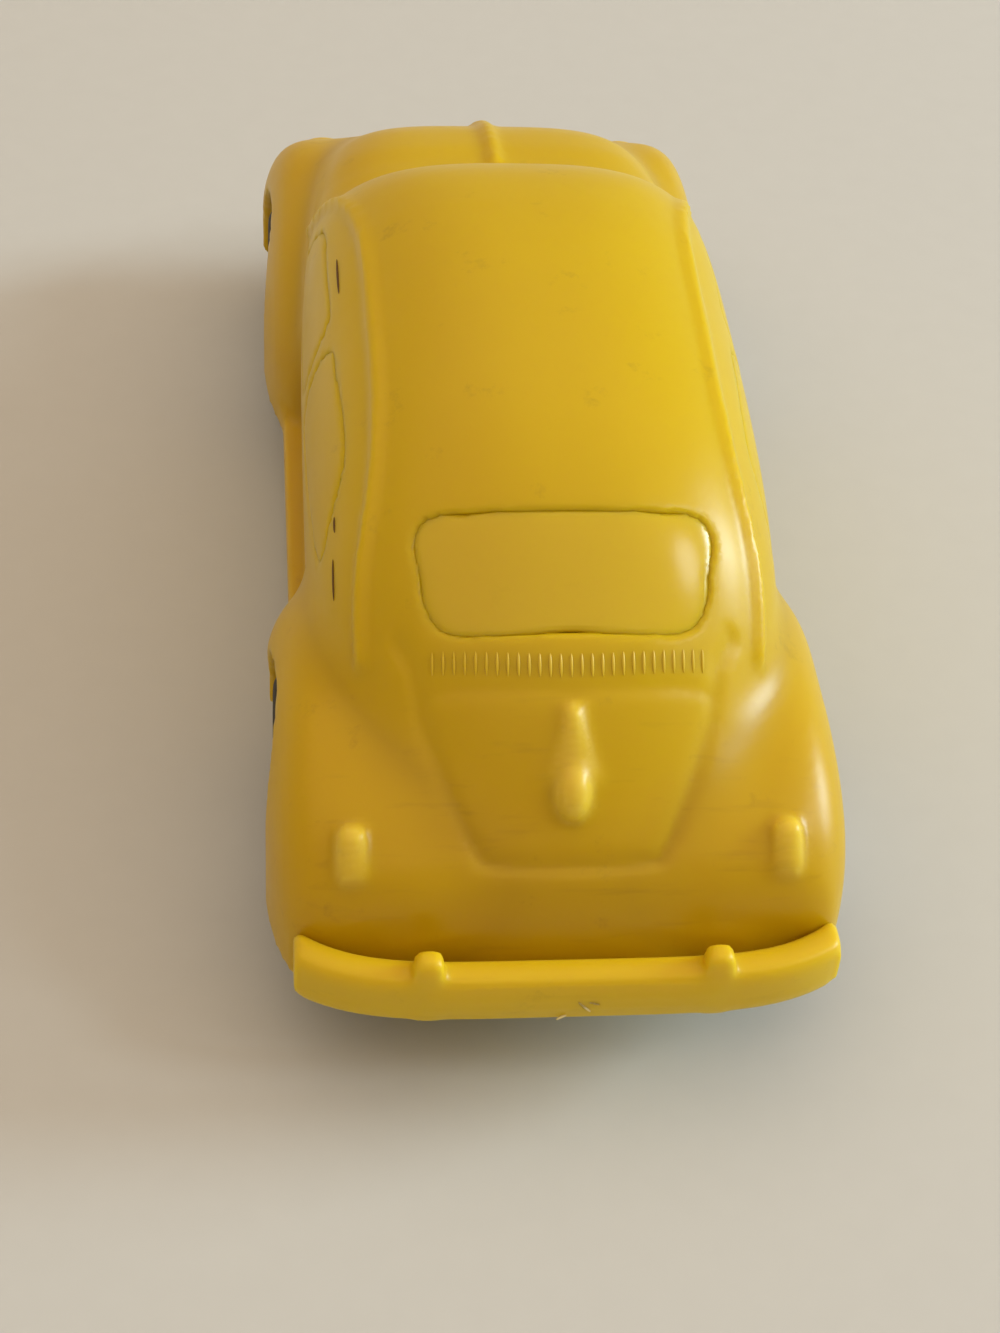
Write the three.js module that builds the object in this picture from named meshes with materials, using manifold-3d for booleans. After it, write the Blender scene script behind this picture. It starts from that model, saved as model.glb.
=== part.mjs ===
// A small yellow plastic toy car: a rounded two-door saloon with four bulging fenders.
// Millimetres. The car faces +Y and stands on z = 0, with the origin under its middle.
import * as THREE from "three";
import { mergeVertices } from "three/addons/utils/BufferGeometryUtils.js";
import Module from "manifold-3d";

const wasm = await Module();
wasm.setup();

// Wheels and axles
const TYRE_RADIUS = 5.0;
const TYRE_WIDTH = 3.2;
const TYRE_SIDES = 24;
const HUB_RADIUS = 3.1;
const HUB_BOSS_RADIUS = 1.3;
const HUB_BOSS_REACH = 2.4;
const AXLE_RADIUS = 0.6;
const REAR_TYRE_INSET = 0.3;
const FRONT_TYRE_INSET = 0.2;
const REAR_AXLE_Y = -17.6;
const FRONT_AXLE_Y = 20.2;
const AXLE_HEIGHT = TYRE_RADIUS * Math.cos(Math.PI / TYRE_SIDES);

// Tyre section from bore to tread, as [share of its wall, share of its half-width], and hub face from rim to
// middle, as [share of the hub's radius, share of the tyre's half-width]
const TYRE_SECTION = [[0, 0.9], [0.6, 1], [0.92, 0.78], [1, 0.45]];
const HUB_FACE = [[1, 0.75], [0.88, 0.85], [0.78, 0.55], [0.58, 0.6], [0.52, 0.8], [0.3, 0.95], [0, 1]];
const HUB_BACK_SHARE = 0.7;
const HUB_BORE_SHARE = 0.4;

// Fits: turning clearance, sliding fit of the window moulding, gap at pressed and seated faces
const RUNNING_GAP = 0.15;
const FIT_GAP = 0.25;
const SEAT_GAP = 0.1;

// Body moulding
const WALL = 1.1;
const SILL_HEIGHT = 4.0;
const TAIL_Y = -29.8;
const NOSE_Y = 29.8;
const SILL_TUCK = 0.5;

// Lines along the car as [y, value] pairs: the centre profile from tail to nose, the half-width at the
// belt, the height of the belt, and how square the section is above it.
const PROFILE = [
  [TAIL_Y, 5.4], [-29.2, 7.4], [-27.6, 10.1], [-25.7, 12.7], [-23.4, 15.3], [-21.3, 17.2], [-17.4, 20.3],
  [-13.5, 21.9], [-8, 22.7], [-2, 22.9], [3.5, 22.5], [6.8, 21.7], [8.8, 20.6], [10.8, 18.7], [12.6, 17.2],
  [15, 16.7], [18, 16.3], [21, 15.4], [24, 13.5], [26.5, 11], [28.6, 7.8], [NOSE_Y, 5.4],
];
const HALF_WIDTH = [
  [TAIL_Y, 3.6], [-28, 4.7], [-25, 6.7], [-22, 8.5], [-18, 9.8], [-13, 10.3],
  [0, 10.4], [8, 10.1], [14, 9.6], [20, 8.9], [24, 7.9], [27.5, 6.2], [NOSE_Y, 4.4],
];
const BELT = [
  [TAIL_Y, 4.6], [-26, 7.2], [-20, 10.4], [-12, 12], [0, 12.6],
  [10, 12.2], [16, 10.8], [22, 8.6], [27, 6], [NOSE_Y, 4.6],
];
const SQUARENESS = [[TAIL_Y, 2.2], [-18, 2.3], [-2, 2.5], [8, 3], [22, 4], [NOSE_Y, 3]];

// Fenders: bulges round the wheels, each a dome with its own reach ahead of and behind the axle. The dome
// stops short of its tip, at a turn of so many degrees from its crest.
const REAR_FENDER = { axleY: REAR_AXLE_Y, halfWidth: 12.5, back: 11.3, front: 8.2 };
const FRONT_FENDER = { axleY: FRONT_AXLE_Y, halfWidth: 12.1, back: 12.0, front: 8.9 };
const FENDER_CENTRE_X = 8.0;
const FENDER_INNER_REACH = 4.4;
const FENDER_FOOT = 4.8;
const FENDER_SQUARENESS = 2.4;
const FENDER_SECTION_SQUARENESS = 3.4;
const FENDER_PLAN_SQUARENESS = 4.0;
const FENDER_END_TURN = 84;
const ARCH_GAP = 0.7;
const ARCH_BAND = 2.3;

// Aprons that close the lower body between the fenders at the tail and the nose
const REAR_APRON = { middle: -20, end: -29.4, top: 11.6 };
const FRONT_APRON = { middle: 20, end: 29.2, top: 10.6 };
const APRON_HALF_WIDTH = 11.0;

// Running boards between the fenders
const BOARD_HALF_WIDTH = 11.1;
const BOARD_HEIGHT = 1.3;

// Moulded details of the body. A tip leans a knob along its slope, in degrees.
const TAIL_LAMP = { x: 9.0, behind: 9.3, size: [0.7, 0.8, 1.4], tip: -36 };
const HEAD_LAMP = { x: 8.5, ahead: 7.6, radius: 1.8, bulge: 1.2, tip: 22 };
const LID_HANDLE = { y: -25.8, size: [0.75, 0.9, 1.25], tip: -45 };
const PLATE_LAMP = {
  top: -23.6,
  foot: -25.6,
  halfWidth: 1.5,
  waist: 0.65,
  rise: 0.9,
  lowest: 0.55,
  swell: 0.6,
};
const HOOD_RIB = { back: 15.5, front: 25.4, halfWidth: 0.4, rise: 0.25 };
const HOOD_HANDLE = { y: 23.4, size: [0.7, 1.3, 0.35], tip: -30 };
const RAIL = { halfWidth: 0.3, rise: 0.35 };
const RAIL_TURN = [[-20, 62], [-14, 46], [-4, 41], [5, 44], [9, 55], [12, 74]];

// Windows: corners of each opening in its own plane, and how far the panes lie below the body
const PANE_RECESS = 0.4;
const INSERT_WALL = 0.8;
const INSERT_FOOT = 13.2;
const INSERT_BACK = -22.0;
const INSERT_FRONT = 13.4;
const CORNER_RADIUS = 1.2;
const WINDOW_CUT_IN = 4.8;
const WINDOW_CUT_OUT = 3.2;
const REAR_WINDOW = {
  foot: [-21.3, 17.2],
  head: [-17.4, 20.3],
  corners: [[-5.6, -2.5], [5.6, -2.5], [6.3, 2.5], [-6.3, 2.5]],
};
const WINDSHIELD = {
  foot: [12.6, 17.2],
  head: [8.8, 20.6],
  corners: [[-7, -1.9], [7, -1.9], [6.4, 1.9], [-6.4, 1.9]],
};
const DOOR_WINDOW = [[-2, 14.3], [9, 14.3], [6.6, 18.3], [-2, 18.6]];
const QUARTER_WINDOW = [[-14.6, 14.5], [-3.4, 14.3], [-3.4, 18.6], [-11.6, 18.3]];

// Base plate with bumpers
const PLATE_THICKNESS = 1.2;
const PLATE_MIDDLE_HALF_WIDTH = 10.4;
const PLATE_END_HALF_WIDTH = 5.5;
const PLATE_END_INSET = 0.6;
const TYRE_SIDE_GAP = 0.8;
const LUG_THICKNESS = 1.3;
const LUG_RADIUS = 1.5;
const BUMPER_END_INSET = 0.7;
const BUMPER_THICKNESS = 1.3;
const BUMPER_HEIGHT = 2.6;
const BUMPER_FOOT = 4.7;
const BUMPER_GAP = 0.4;
const BUMPER_WRAP = 1.6;
const BUMPER_BOW = 5;
const BUMPER_END_SHARE = 0.6;
const BUMPER_FACE_POWER = 0.7;
const BUMPER_EDGE_POWER = 0.5;
const BRACKET_HALF_WIDTH = 5.0;
const BRACKET_TOE = 1.0;
const OVERRIDER = { x: 5.95, size: [0.75, 0.75, 2.0], rise: 0.47 };

// Screws that hold the base plate to the posts in the body
const POST_RADIUS = 1.8;
const POST_INSET = 5.2;
const SCREW_RADIUS = 0.6;
const SCREW_LENGTH = 6.0;
const SCREW_HEAD_RADIUS = 1.5;
const SCREW_HEAD_HEIGHT = 0.8;
const SCREW_SLOT_WIDTH = 0.4;

// Fineness of the facets
const SECTION_STEPS = 10;
const HULL_STATIONS = 38;
const CAVITY_STATIONS = 18;
const CAVITY_STEPS = 6;
const FENDER_STATIONS = 14;
const FENDER_STEPS = 5;
const FENDER_CAVITY_STATIONS = 8;
const FENDER_CAVITY_STEPS = 4;
const RAIL_STATIONS = 14;
const RIB_STATIONS = 10;
const PLATE_LAMP_STATIONS = 8;
const PLATE_LAMP_STEPS = 4;
const BUMPER_STATIONS = 20;
const BUMPER_SIDES = 10;
const CORNER_STEPS = 3;
const KNOB_SIDES = 12;
const KNOB_RINGS = 8;
const ROUND_SIDES = 16;

const plateTop = SILL_HEIGHT - SEAT_GAP;
const plateBottom = plateTop - PLATE_THICKNESS;
const archRadius = TYRE_RADIUS + ARCH_GAP;
const fenderTop = AXLE_HEIGHT + archRadius + ARCH_BAND;

// The wheels stand just inside the fenders, and the bumpers reach almost as far out.
const rearTrack = 2 * (REAR_FENDER.halfWidth - REAR_TYRE_INSET) - TYRE_WIDTH;
const frontTrack = 2 * (FRONT_FENDER.halfWidth - FRONT_TYRE_INSET) - TYRE_WIDTH;
const bumperHalfWidth = REAR_FENDER.halfWidth - BUMPER_END_INSET;

// A smooth value along the car from [y, value] pairs.
function along(pairs) {
  const places = Float32Array.from(pairs, (pair) => pair[0]);
  const values = Float32Array.from(pairs, (pair) => pair[1]);
  const curve = new THREE.CubicInterpolant(places, values, 1);
  return (y) => curve.evaluate(y)[0];
}

const profileAt = along(PROFILE);
const halfWidthAt = along(HALF_WIDTH);
const beltAt = along(BELT);
const squarenessAt = along(SQUARENESS);
const railTurnAt = along(RAIL_TURN);

// A closed geometry as a solid that can be joined and cut.
function solid(geometry) {
  const bare = new THREE.BufferGeometry();
  const loose = geometry.index ? geometry.toNonIndexed() : geometry;
  bare.setAttribute("position", loose.getAttribute("position"));
  const merged = mergeVertices(bare, 1e-4);
  const vertProperties = merged.getAttribute("position").array;
  const triVerts = new Uint32Array(merged.index.array);
  return new wasm.Manifold(new wasm.Mesh({ numProp: 3, vertProperties, triVerts }));
}

// A solid as a geometry.
function geometryOf(made) {
  const mesh = made.getMesh();
  const geometry = new THREE.BufferGeometry();
  geometry.setAttribute("position", new THREE.BufferAttribute(mesh.vertProperties, 3));
  geometry.setIndex(new THREE.BufferAttribute(mesh.triVerts, 1));
  geometry.computeVertexNormals();
  return geometry;
}

function joined(solids) {
  return solids.reduce((whole, next) => whole.add(next));
}

function without(whole, cuts) {
  return cuts.reduce((left, cut) => left.subtract(cut), whole);
}

// Skins a row of rings, each a list of points in the same order, and closes both ends. Seen along the row,
// each ring runs clockwise.
function loft(rings) {
  const count = rings[0].length;
  const points = rings.flat();
  const faces = [];
  for (let ring = 0; ring + 1 < rings.length; ring++) {
    for (let i = 0; i < count; i++) {
      const a = ring * count + i;
      const b = ring * count + ((i + 1) % count);
      faces.push(a, b, b + count, a, b + count, a + count);
    }
  }
  const last = (rings.length - 1) * count;
  const ends = [rings[0], rings[rings.length - 1]];
  const [start, finish] = ends.map((ring) => points.push(middleOf(ring)) - 1);
  for (let i = 0; i < count; i++) {
    const next = (i + 1) % count;
    faces.push(start, next, i, finish, last + i, last + next);
  }
  const geometry = new THREE.BufferGeometry();
  geometry.setAttribute("position", new THREE.Float32BufferAttribute(points.flat(), 3));
  geometry.setIndex(faces);
  return geometry;
}

function middleOf(points) {
  return [0, 1, 2].map((axis) => points.reduce((sum, point) => sum + point[axis], 0) / points.length);
}

// Places from one end to the other, closer together towards both ends.
function stations(from, to, count) {
  return Array.from({ length: count + 1 }, (_, i) => {
    const even = i / count;
    const eased = (1 - Math.cos(Math.PI * even)) / 2;
    return from + (to - from) * (even + eased) / 2;
  });
}

// A quarter of a rounded section: x from 0 to width while z falls from height to 0.
function quarter(width, height, squareness, steps) {
  return Array.from({ length: steps + 1 }, (_, i) => {
    const turn = (i / steps) * (Math.PI / 2);
    const x = width * Math.sin(turn) ** (2 / squareness);
    const z = height * Math.max(Math.cos(turn), 0) ** (2 / squareness);
    return [x, z];
  });
}

// The section of the main body at y, drawn in by inset all round, with its foot at the given height.
function hullRing(y, inset, foot, steps) {
  const middle = (TAIL_Y + NOSE_Y) / 2;
  const half = (NOSE_Y - TAIL_Y) / 2;
  const outer = middle + (y - middle) * (half / (half - inset));
  const belt = beltAt(outer);
  const top = Math.max(profileAt(outer) - inset, belt + SEAT_GAP);
  const width = halfWidthAt(outer) - inset;
  const right = quarter(width, top - belt, squarenessAt(outer), steps).map(([x, z]) => [x, y, belt + z]);
  right.push([width - SILL_TUCK / 4, y, (belt + SILL_HEIGHT) / 2]);
  right.push([width - SILL_TUCK, y, foot]);
  const left = right.slice(1).reverse().map(([x, , z]) => [-x, y, z]);
  return [...right, ...left];
}

function hull(inset, foot, stationCount, steps) {
  const places = stations(TAIL_Y + inset, NOSE_Y - inset, stationCount);
  return solid(loft(places.map((y) => hullRing(y, inset, foot, steps))));
}

// How much of its full size a fender keeps at a place along it, from -1 at its back to 1 at its front.
function shareAt(place, squareness) {
  return (1 - Math.min(Math.abs(place), 1) ** squareness) ** (1 / squareness);
}

// One fender on the side given by 1 or -1, drawn in by inset, with its foot at the given height.
function fender(form, side, inset, foot, stationCount, steps) {
  const places = Array.from({ length: stationCount + 1 }, (_, i) => {
    const turn = FENDER_END_TURN * (2 * i / stationCount - 1);
    return Math.sin(THREE.MathUtils.degToRad(turn));
  });
  const rings = places.map((place) => {
    const y = form.axleY + place * ((place < 0 ? form.back : form.front) - inset);
    const rise = (fenderTop - inset - FENDER_FOOT) * shareAt(place, FENDER_SQUARENESS);
    const plan = shareAt(place, FENDER_PLAN_SQUARENESS);
    const spread = (form.halfWidth - FENDER_CENTRE_X - inset) * plan;
    const reach = (FENDER_INNER_REACH - inset) * plan;
    const outer = quarter(spread, rise, FENDER_SECTION_SQUARENESS, steps);
    const inner = quarter(reach, rise, FENDER_SECTION_SQUARENESS, steps);
    const ring = outer.map(([x, z]) => [FENDER_CENTRE_X + x, y, FENDER_FOOT + z]);
    ring.push([FENDER_CENTRE_X + spread, y, foot]);
    ring.push([FENDER_CENTRE_X - reach, y, foot]);
    inner.slice(1).reverse().forEach(([x, z]) => ring.push([FENDER_CENTRE_X - x, y, FENDER_FOOT + z]));
    return side > 0 ? ring : ring.reverse().map(([x, py, z]) => [-x, py, z]);
  });
  return solid(loft(rings));
}

// A low rounded mass across the tail or the nose, drawn in by inset, with its foot at the given height.
function apron(form, inset, foot, stationCount, steps) {
  const reach = form.end - form.middle;
  const shares = Array.from({ length: stationCount + 1 }, (_, i) => {
    const step = reach > 0 ? i : stationCount - i;
    return Math.sin(THREE.MathUtils.degToRad((FENDER_END_TURN * step) / stationCount));
  });
  const rings = shares.map((share) => {
    const y = form.middle + share * (reach - Math.sign(reach) * inset);
    const rise = (form.top - inset - FENDER_FOOT) * shareAt(share, FENDER_SQUARENESS);
    const width = (APRON_HALF_WIDTH - inset) * shareAt(share, FENDER_PLAN_SQUARENESS);
    const section = quarter(width, rise, FENDER_SECTION_SQUARENESS, steps);
    const right = section.map(([x, z]) => [x, y, FENDER_FOOT + z]);
    right.push([width, y, foot]);
    const left = right.slice(1).reverse().map(([x, , z]) => [-x, y, z]);
    return [...right, ...left];
  });
  return solid(loft(rings));
}

// The height of a fender's crest at a place along the car.
function crestAt(form, y) {
  const away = y - form.axleY;
  const place = away / (away < 0 ? form.back : form.front);
  return FENDER_FOOT + (fenderTop - FENDER_FOOT) * shareAt(place, FENDER_SQUARENESS);
}

// A rounded knob with the given half-sizes, tipped about X by so many degrees.
function knob(centre, size, tip) {
  const geometry = new THREE.SphereGeometry(1, KNOB_SIDES, KNOB_RINGS);
  geometry.scale(...size);
  geometry.rotateX(THREE.MathUtils.degToRad(tip));
  geometry.translate(...centre);
  return solid(geometry);
}

function bar(size, centre) {
  const geometry = new THREE.BoxGeometry(...size);
  geometry.translate(...centre);
  return solid(geometry);
}

// A round bar along X or Z.
function rod(radius, length, centre, axis, sides = ROUND_SIDES) {
  const geometry = new THREE.CylinderGeometry(radius, radius, length, sides);
  if (axis === "x") geometry.rotateZ(Math.PI / 2);
  else geometry.rotateX(Math.PI / 2);
  geometry.translate(...centre);
  return solid(geometry);
}

// A straight-sided outline with its corners moved in by inset.
function drawnIn(corners, inset) {
  return corners.map((corner, i) => {
    const here = new THREE.Vector2(...corner);
    const before = new THREE.Vector2(...corners.at(i - 1));
    const after = new THREE.Vector2(...corners[(i + 1) % corners.length]);
    const coming = here.clone().sub(before).normalize();
    const going = after.clone().sub(here).normalize();
    const slide = inset / coming.cross(going);
    return here.addScaledVector(going, slide).addScaledVector(coming, -slide).toArray();
  });
}

// An outline with rounded corners as a shape.
function rounded(corners, radius) {
  const shape = new THREE.Shape();
  corners.forEach((corner, i) => {
    const here = new THREE.Vector2(...corner);
    const next = corners[(i + 1) % corners.length];
    const before = new THREE.Vector2(...corners.at(i - 1)).sub(here).setLength(radius).add(here);
    const after = new THREE.Vector2(...next).sub(here).setLength(radius).add(here);
    if (i === 0) shape.moveTo(before.x, before.y);
    else shape.lineTo(before.x, before.y);
    shape.quadraticCurveTo(here.x, here.y, after.x, after.y);
  });
  shape.closePath();
  return shape;
}

function extruded(shape, depth, segments) {
  return new THREE.ExtrudeGeometry(shape, { depth, bevelEnabled: false, curveSegments: segments });
}

// A cutter for a sloping window: its plane runs from the foot to the head, and it faces out.
function slopingWindow(pane, inset) {
  const depth = WINDOW_CUT_IN + WINDOW_CUT_OUT;
  const facing = Math.sign(pane.foot[0]);
  const across = new THREE.Vector3(-facing, 0, 0);
  const up = new THREE.Vector3(0, pane.head[0] - pane.foot[0], pane.head[1] - pane.foot[1]).normalize();
  const out = across.clone().cross(up);
  const middle = new THREE.Vector3(0, (pane.head[0] + pane.foot[0]) / 2, (pane.head[1] + pane.foot[1]) / 2);
  const geometry = extruded(rounded(drawnIn(pane.corners, inset), CORNER_RADIUS), depth, CORNER_STEPS);
  geometry.translate(0, 0, -WINDOW_CUT_IN);
  geometry.applyMatrix4(new THREE.Matrix4().makeBasis(across, up, out).setPosition(middle));
  return solid(geometry);
}

// A cutter for a pair of side windows, right through the car.
function sideWindow(corners, inset) {
  const depth = 2 * REAR_FENDER.halfWidth;
  const geometry = extruded(rounded(drawnIn(corners, inset), CORNER_RADIUS), depth, CORNER_STEPS);
  geometry.translate(0, 0, -depth / 2);
  const turn = new THREE.Matrix4().makeBasis(
    new THREE.Vector3(0, 1, 0), new THREE.Vector3(0, 0, 1), new THREE.Vector3(1, 0, 0),
  );
  geometry.applyMatrix4(turn);
  return solid(geometry);
}

function windows(inset) {
  return joined([
    slopingWindow(REAR_WINDOW, inset),
    slopingWindow(WINDSHIELD, inset),
    sideWindow(DOOR_WINDOW, inset),
    sideWindow(QUARTER_WINDOW, inset),
  ]);
}

// A low rounded ridge along a row of points, given as [x, y, z] on the body's surface.
function ridge(points, halfWidth, rise) {
  const rings = points.map(([x, y, z]) => [
    [x, y, z + rise], [x + halfWidth, y, z + rise / 2], [x + halfWidth, y, z - rise],
    [x - halfWidth, y, z - rise], [x - halfWidth, y, z + rise / 2],
  ]);
  return solid(loft(rings));
}

function hoodRib() {
  const points = stations(HOOD_RIB.back, HOOD_RIB.front, RIB_STATIONS).map((y) => [0, y, profileAt(y)]);
  return ridge(points, HOOD_RIB.halfWidth, HOOD_RIB.rise);
}

// A drip rail along the roof's edge, which runs down the pillars at both ends.
function dripRail(side) {
  const places = stations(RAIL_TURN[0][0], RAIL_TURN.at(-1)[0], RAIL_STATIONS);
  const points = places.map((y) => {
    const belt = beltAt(y);
    const power = 2 / squarenessAt(y);
    const turn = THREE.MathUtils.degToRad(railTurnAt(y));
    const x = halfWidthAt(y) * Math.sin(turn) ** power;
    return [side * x, y, belt + (profileAt(y) - belt) * Math.cos(turn) ** power];
  });
  return ridge(points, RAIL.halfWidth, RAIL.rise);
}

// The bell-shaped housing of the number-plate lamp, narrow at its top and flared at its foot.
function plateLamp() {
  const rings = stations(PLATE_LAMP.foot, PLATE_LAMP.top, PLATE_LAMP_STATIONS).map((y) => {
    const share = (y - PLATE_LAMP.foot) / (PLATE_LAMP.top - PLATE_LAMP.foot);
    const width = PLATE_LAMP.halfWidth * (1 - PLATE_LAMP.waist * Math.sin(share * Math.PI / 2));
    const level = PLATE_LAMP.lowest * (1 - share ** 6) + PLATE_LAMP.swell * share;
    const ground = profileAt(y) - PLATE_LAMP.rise;
    const section = quarter(width, PLATE_LAMP.rise * (1 + level), 2, PLATE_LAMP_STEPS);
    const right = section.map(([x, z]) => [x, y, ground + z]);
    const left = right.slice(1).reverse().map(([x, , z]) => [-x, y, z]);
    return [...right, ...left];
  });
  return solid(loft(rings));
}

function lamps(side) {
  const tailY = REAR_AXLE_Y - TAIL_LAMP.behind;
  const tailZ = crestAt(REAR_FENDER, tailY);
  const headY = FRONT_AXLE_Y + HEAD_LAMP.ahead;
  const headZ = crestAt(FRONT_FENDER, headY);
  const headSize = [HEAD_LAMP.radius, HEAD_LAMP.bulge, HEAD_LAMP.radius];
  return joined([
    knob([side * TAIL_LAMP.x, tailY, tailZ], TAIL_LAMP.size, TAIL_LAMP.tip),
    knob([side * HEAD_LAMP.x, headY, headZ - HEAD_LAMP.radius / 2], headSize, HEAD_LAMP.tip),
  ]);
}

// The places of the two screws and of the posts that they go into.
const screwPlaces = [TAIL_Y + POST_INSET, NOSE_Y - POST_INSET];

function screwHole(y, radius) {
  const top = plateTop + SCREW_LENGTH;
  const bottom = plateBottom - SCREW_HEAD_HEIGHT;
  return rod(radius, top - bottom, [0, y, (top + bottom) / 2], "z");
}

// The four fenders and two aprons, drawn in by inset, with their feet at the given height.
function skirts(inset, foot, stationCount, steps) {
  const fenders = [REAR_FENDER, FRONT_FENDER].flatMap((form) => [
    fender(form, 1, inset, foot, stationCount, steps),
    fender(form, -1, inset, foot, stationCount, steps),
  ]);
  const aprons = [REAR_APRON, FRONT_APRON].map((form) => apron(form, inset, foot, stationCount / 2, steps));
  return [...fenders, ...aprons];
}

function bodyShell() {
  const openFoot = SILL_HEIGHT - WALL;
  const sides = [1, -1];
  const boardLength = FRONT_AXLE_Y - REAR_AXLE_Y - 2 * archRadius;
  const board = bar(
    [2 * BOARD_HALF_WIDTH, boardLength, BOARD_HEIGHT],
    [0, (FRONT_AXLE_Y + REAR_AXLE_Y) / 2, SILL_HEIGHT + BOARD_HEIGHT / 2],
  );
  const masses = [
    hull(0, SILL_HEIGHT, HULL_STATIONS, SECTION_STEPS),
    board,
    ...skirts(0, SILL_HEIGHT, FENDER_STATIONS, FENDER_STEPS),
  ];
  const details = [
    ...sides.map(lamps),
    ...sides.map(dripRail),
    hoodRib(),
    plateLamp(),
    knob([0, LID_HANDLE.y, profileAt(LID_HANDLE.y)], LID_HANDLE.size, LID_HANDLE.tip),
    knob([0, HOOD_HANDLE.y, profileAt(HOOD_HANDLE.y)], HOOD_HANDLE.size, HOOD_HANDLE.tip),
  ];
  const cavities = [
    hull(WALL, openFoot, CAVITY_STATIONS, CAVITY_STEPS),
    ...skirts(WALL, openFoot, FENDER_CAVITY_STATIONS, FENDER_CAVITY_STEPS),
  ];
  const arches = [REAR_AXLE_Y, FRONT_AXLE_Y].map((y) => (
    rod(archRadius, 4 * REAR_FENDER.halfWidth, [0, y, AXLE_HEIGHT], "x", TYRE_SIDES)
  ));
  const posts = screwPlaces.map((y) => {
    const height = profileAt(y) - SILL_HEIGHT;
    return rod(POST_RADIUS, height + WALL, [0, y, SILL_HEIGHT + (height + WALL) / 2], "z");
  });
  const inside = hull(WALL / 2, SILL_HEIGHT, CAVITY_STATIONS, CAVITY_STEPS);
  const shell = without(joined([...masses, ...details]), [...cavities, ...arches]);
  const posted = shell.add(joined(posts).intersect(inside));
  const holes = screwPlaces.map((y) => screwHole(y, SCREW_RADIUS + RUNNING_GAP));
  return without(posted, [windows(0), ...holes]);
}

function cabinInsert() {
  const outer = WALL + FIT_GAP;
  const skin = hull(outer, INSERT_FOOT - WALL, CAVITY_STATIONS, CAVITY_STEPS);
  const panes = hull(PANE_RECESS, SILL_HEIGHT, HULL_STATIONS, SECTION_STEPS).intersect(windows(FIT_GAP));
  const hollow = hull(outer + INSERT_WALL, SILL_HEIGHT - WALL, CAVITY_STATIONS, CAVITY_STEPS);
  const length = INSERT_FRONT - INSERT_BACK;
  const height = PROFILE.reduce((top, pair) => Math.max(top, pair[1]), 0);
  const room = bar(
    [4 * REAR_FENDER.halfWidth, length, height],
    [0, (INSERT_FRONT + INSERT_BACK) / 2, INSERT_FOOT + height / 2],
  );
  return skin.add(panes).subtract(hollow).intersect(room);
}

// The plate's outline: narrow between the wheels, wide under the running boards.
function plateOutline() {
  const [rear, front] = [rearTrack, frontTrack].map((track) => (track - TYRE_WIDTH) / 2 - TYRE_SIDE_GAP);
  const clear = archRadius + ARCH_GAP;
  const right = [
    [PLATE_END_HALF_WIDTH, TAIL_Y + PLATE_END_INSET],
    [rear, TAIL_Y + PLATE_END_INSET + rear - PLATE_END_HALF_WIDTH],
    [rear, REAR_AXLE_Y + clear],
    [PLATE_MIDDLE_HALF_WIDTH, REAR_AXLE_Y + clear + PLATE_MIDDLE_HALF_WIDTH - rear],
    [PLATE_MIDDLE_HALF_WIDTH, FRONT_AXLE_Y - clear - PLATE_MIDDLE_HALF_WIDTH + front],
    [front, FRONT_AXLE_Y - clear],
    [front, NOSE_Y - PLATE_END_INSET - front + PLATE_END_HALF_WIDTH],
    [PLATE_END_HALF_WIDTH, NOSE_Y - PLATE_END_INSET],
  ];
  const left = right.map(([x, y]) => [-x, y]).reverse();
  return new THREE.Shape([...right, ...left].map((point) => new THREE.Vector2(...point)));
}

// A bearing lug that carries an axle, standing on the plate.
function lug(axleY, track, side) {
  const shape = new THREE.Shape();
  shape.moveTo(-LUG_RADIUS, plateBottom - AXLE_HEIGHT + PLATE_THICKNESS / 2);
  shape.lineTo(LUG_RADIUS, plateBottom - AXLE_HEIGHT + PLATE_THICKNESS / 2);
  shape.lineTo(LUG_RADIUS, 0);
  shape.absarc(0, 0, LUG_RADIUS, 0, Math.PI, false);
  shape.closePath();
  const bore = new THREE.Path();
  bore.absarc(0, 0, AXLE_RADIUS + RUNNING_GAP, 0, 2 * Math.PI, true);
  shape.holes.push(bore);
  const geometry = extruded(shape, LUG_THICKNESS, 8);
  const outer = track / 2 - HUB_BOSS_REACH - 2 * RUNNING_GAP;
  const turn = new THREE.Matrix4().makeBasis(
    new THREE.Vector3(0, 1, 0), new THREE.Vector3(0, 0, 1), new THREE.Vector3(1, 0, 0),
  );
  turn.setPosition(side > 0 ? outer - LUG_THICKNESS : -outer, axleY, AXLE_HEIGHT);
  geometry.applyMatrix4(turn);
  return solid(geometry);
}

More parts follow.
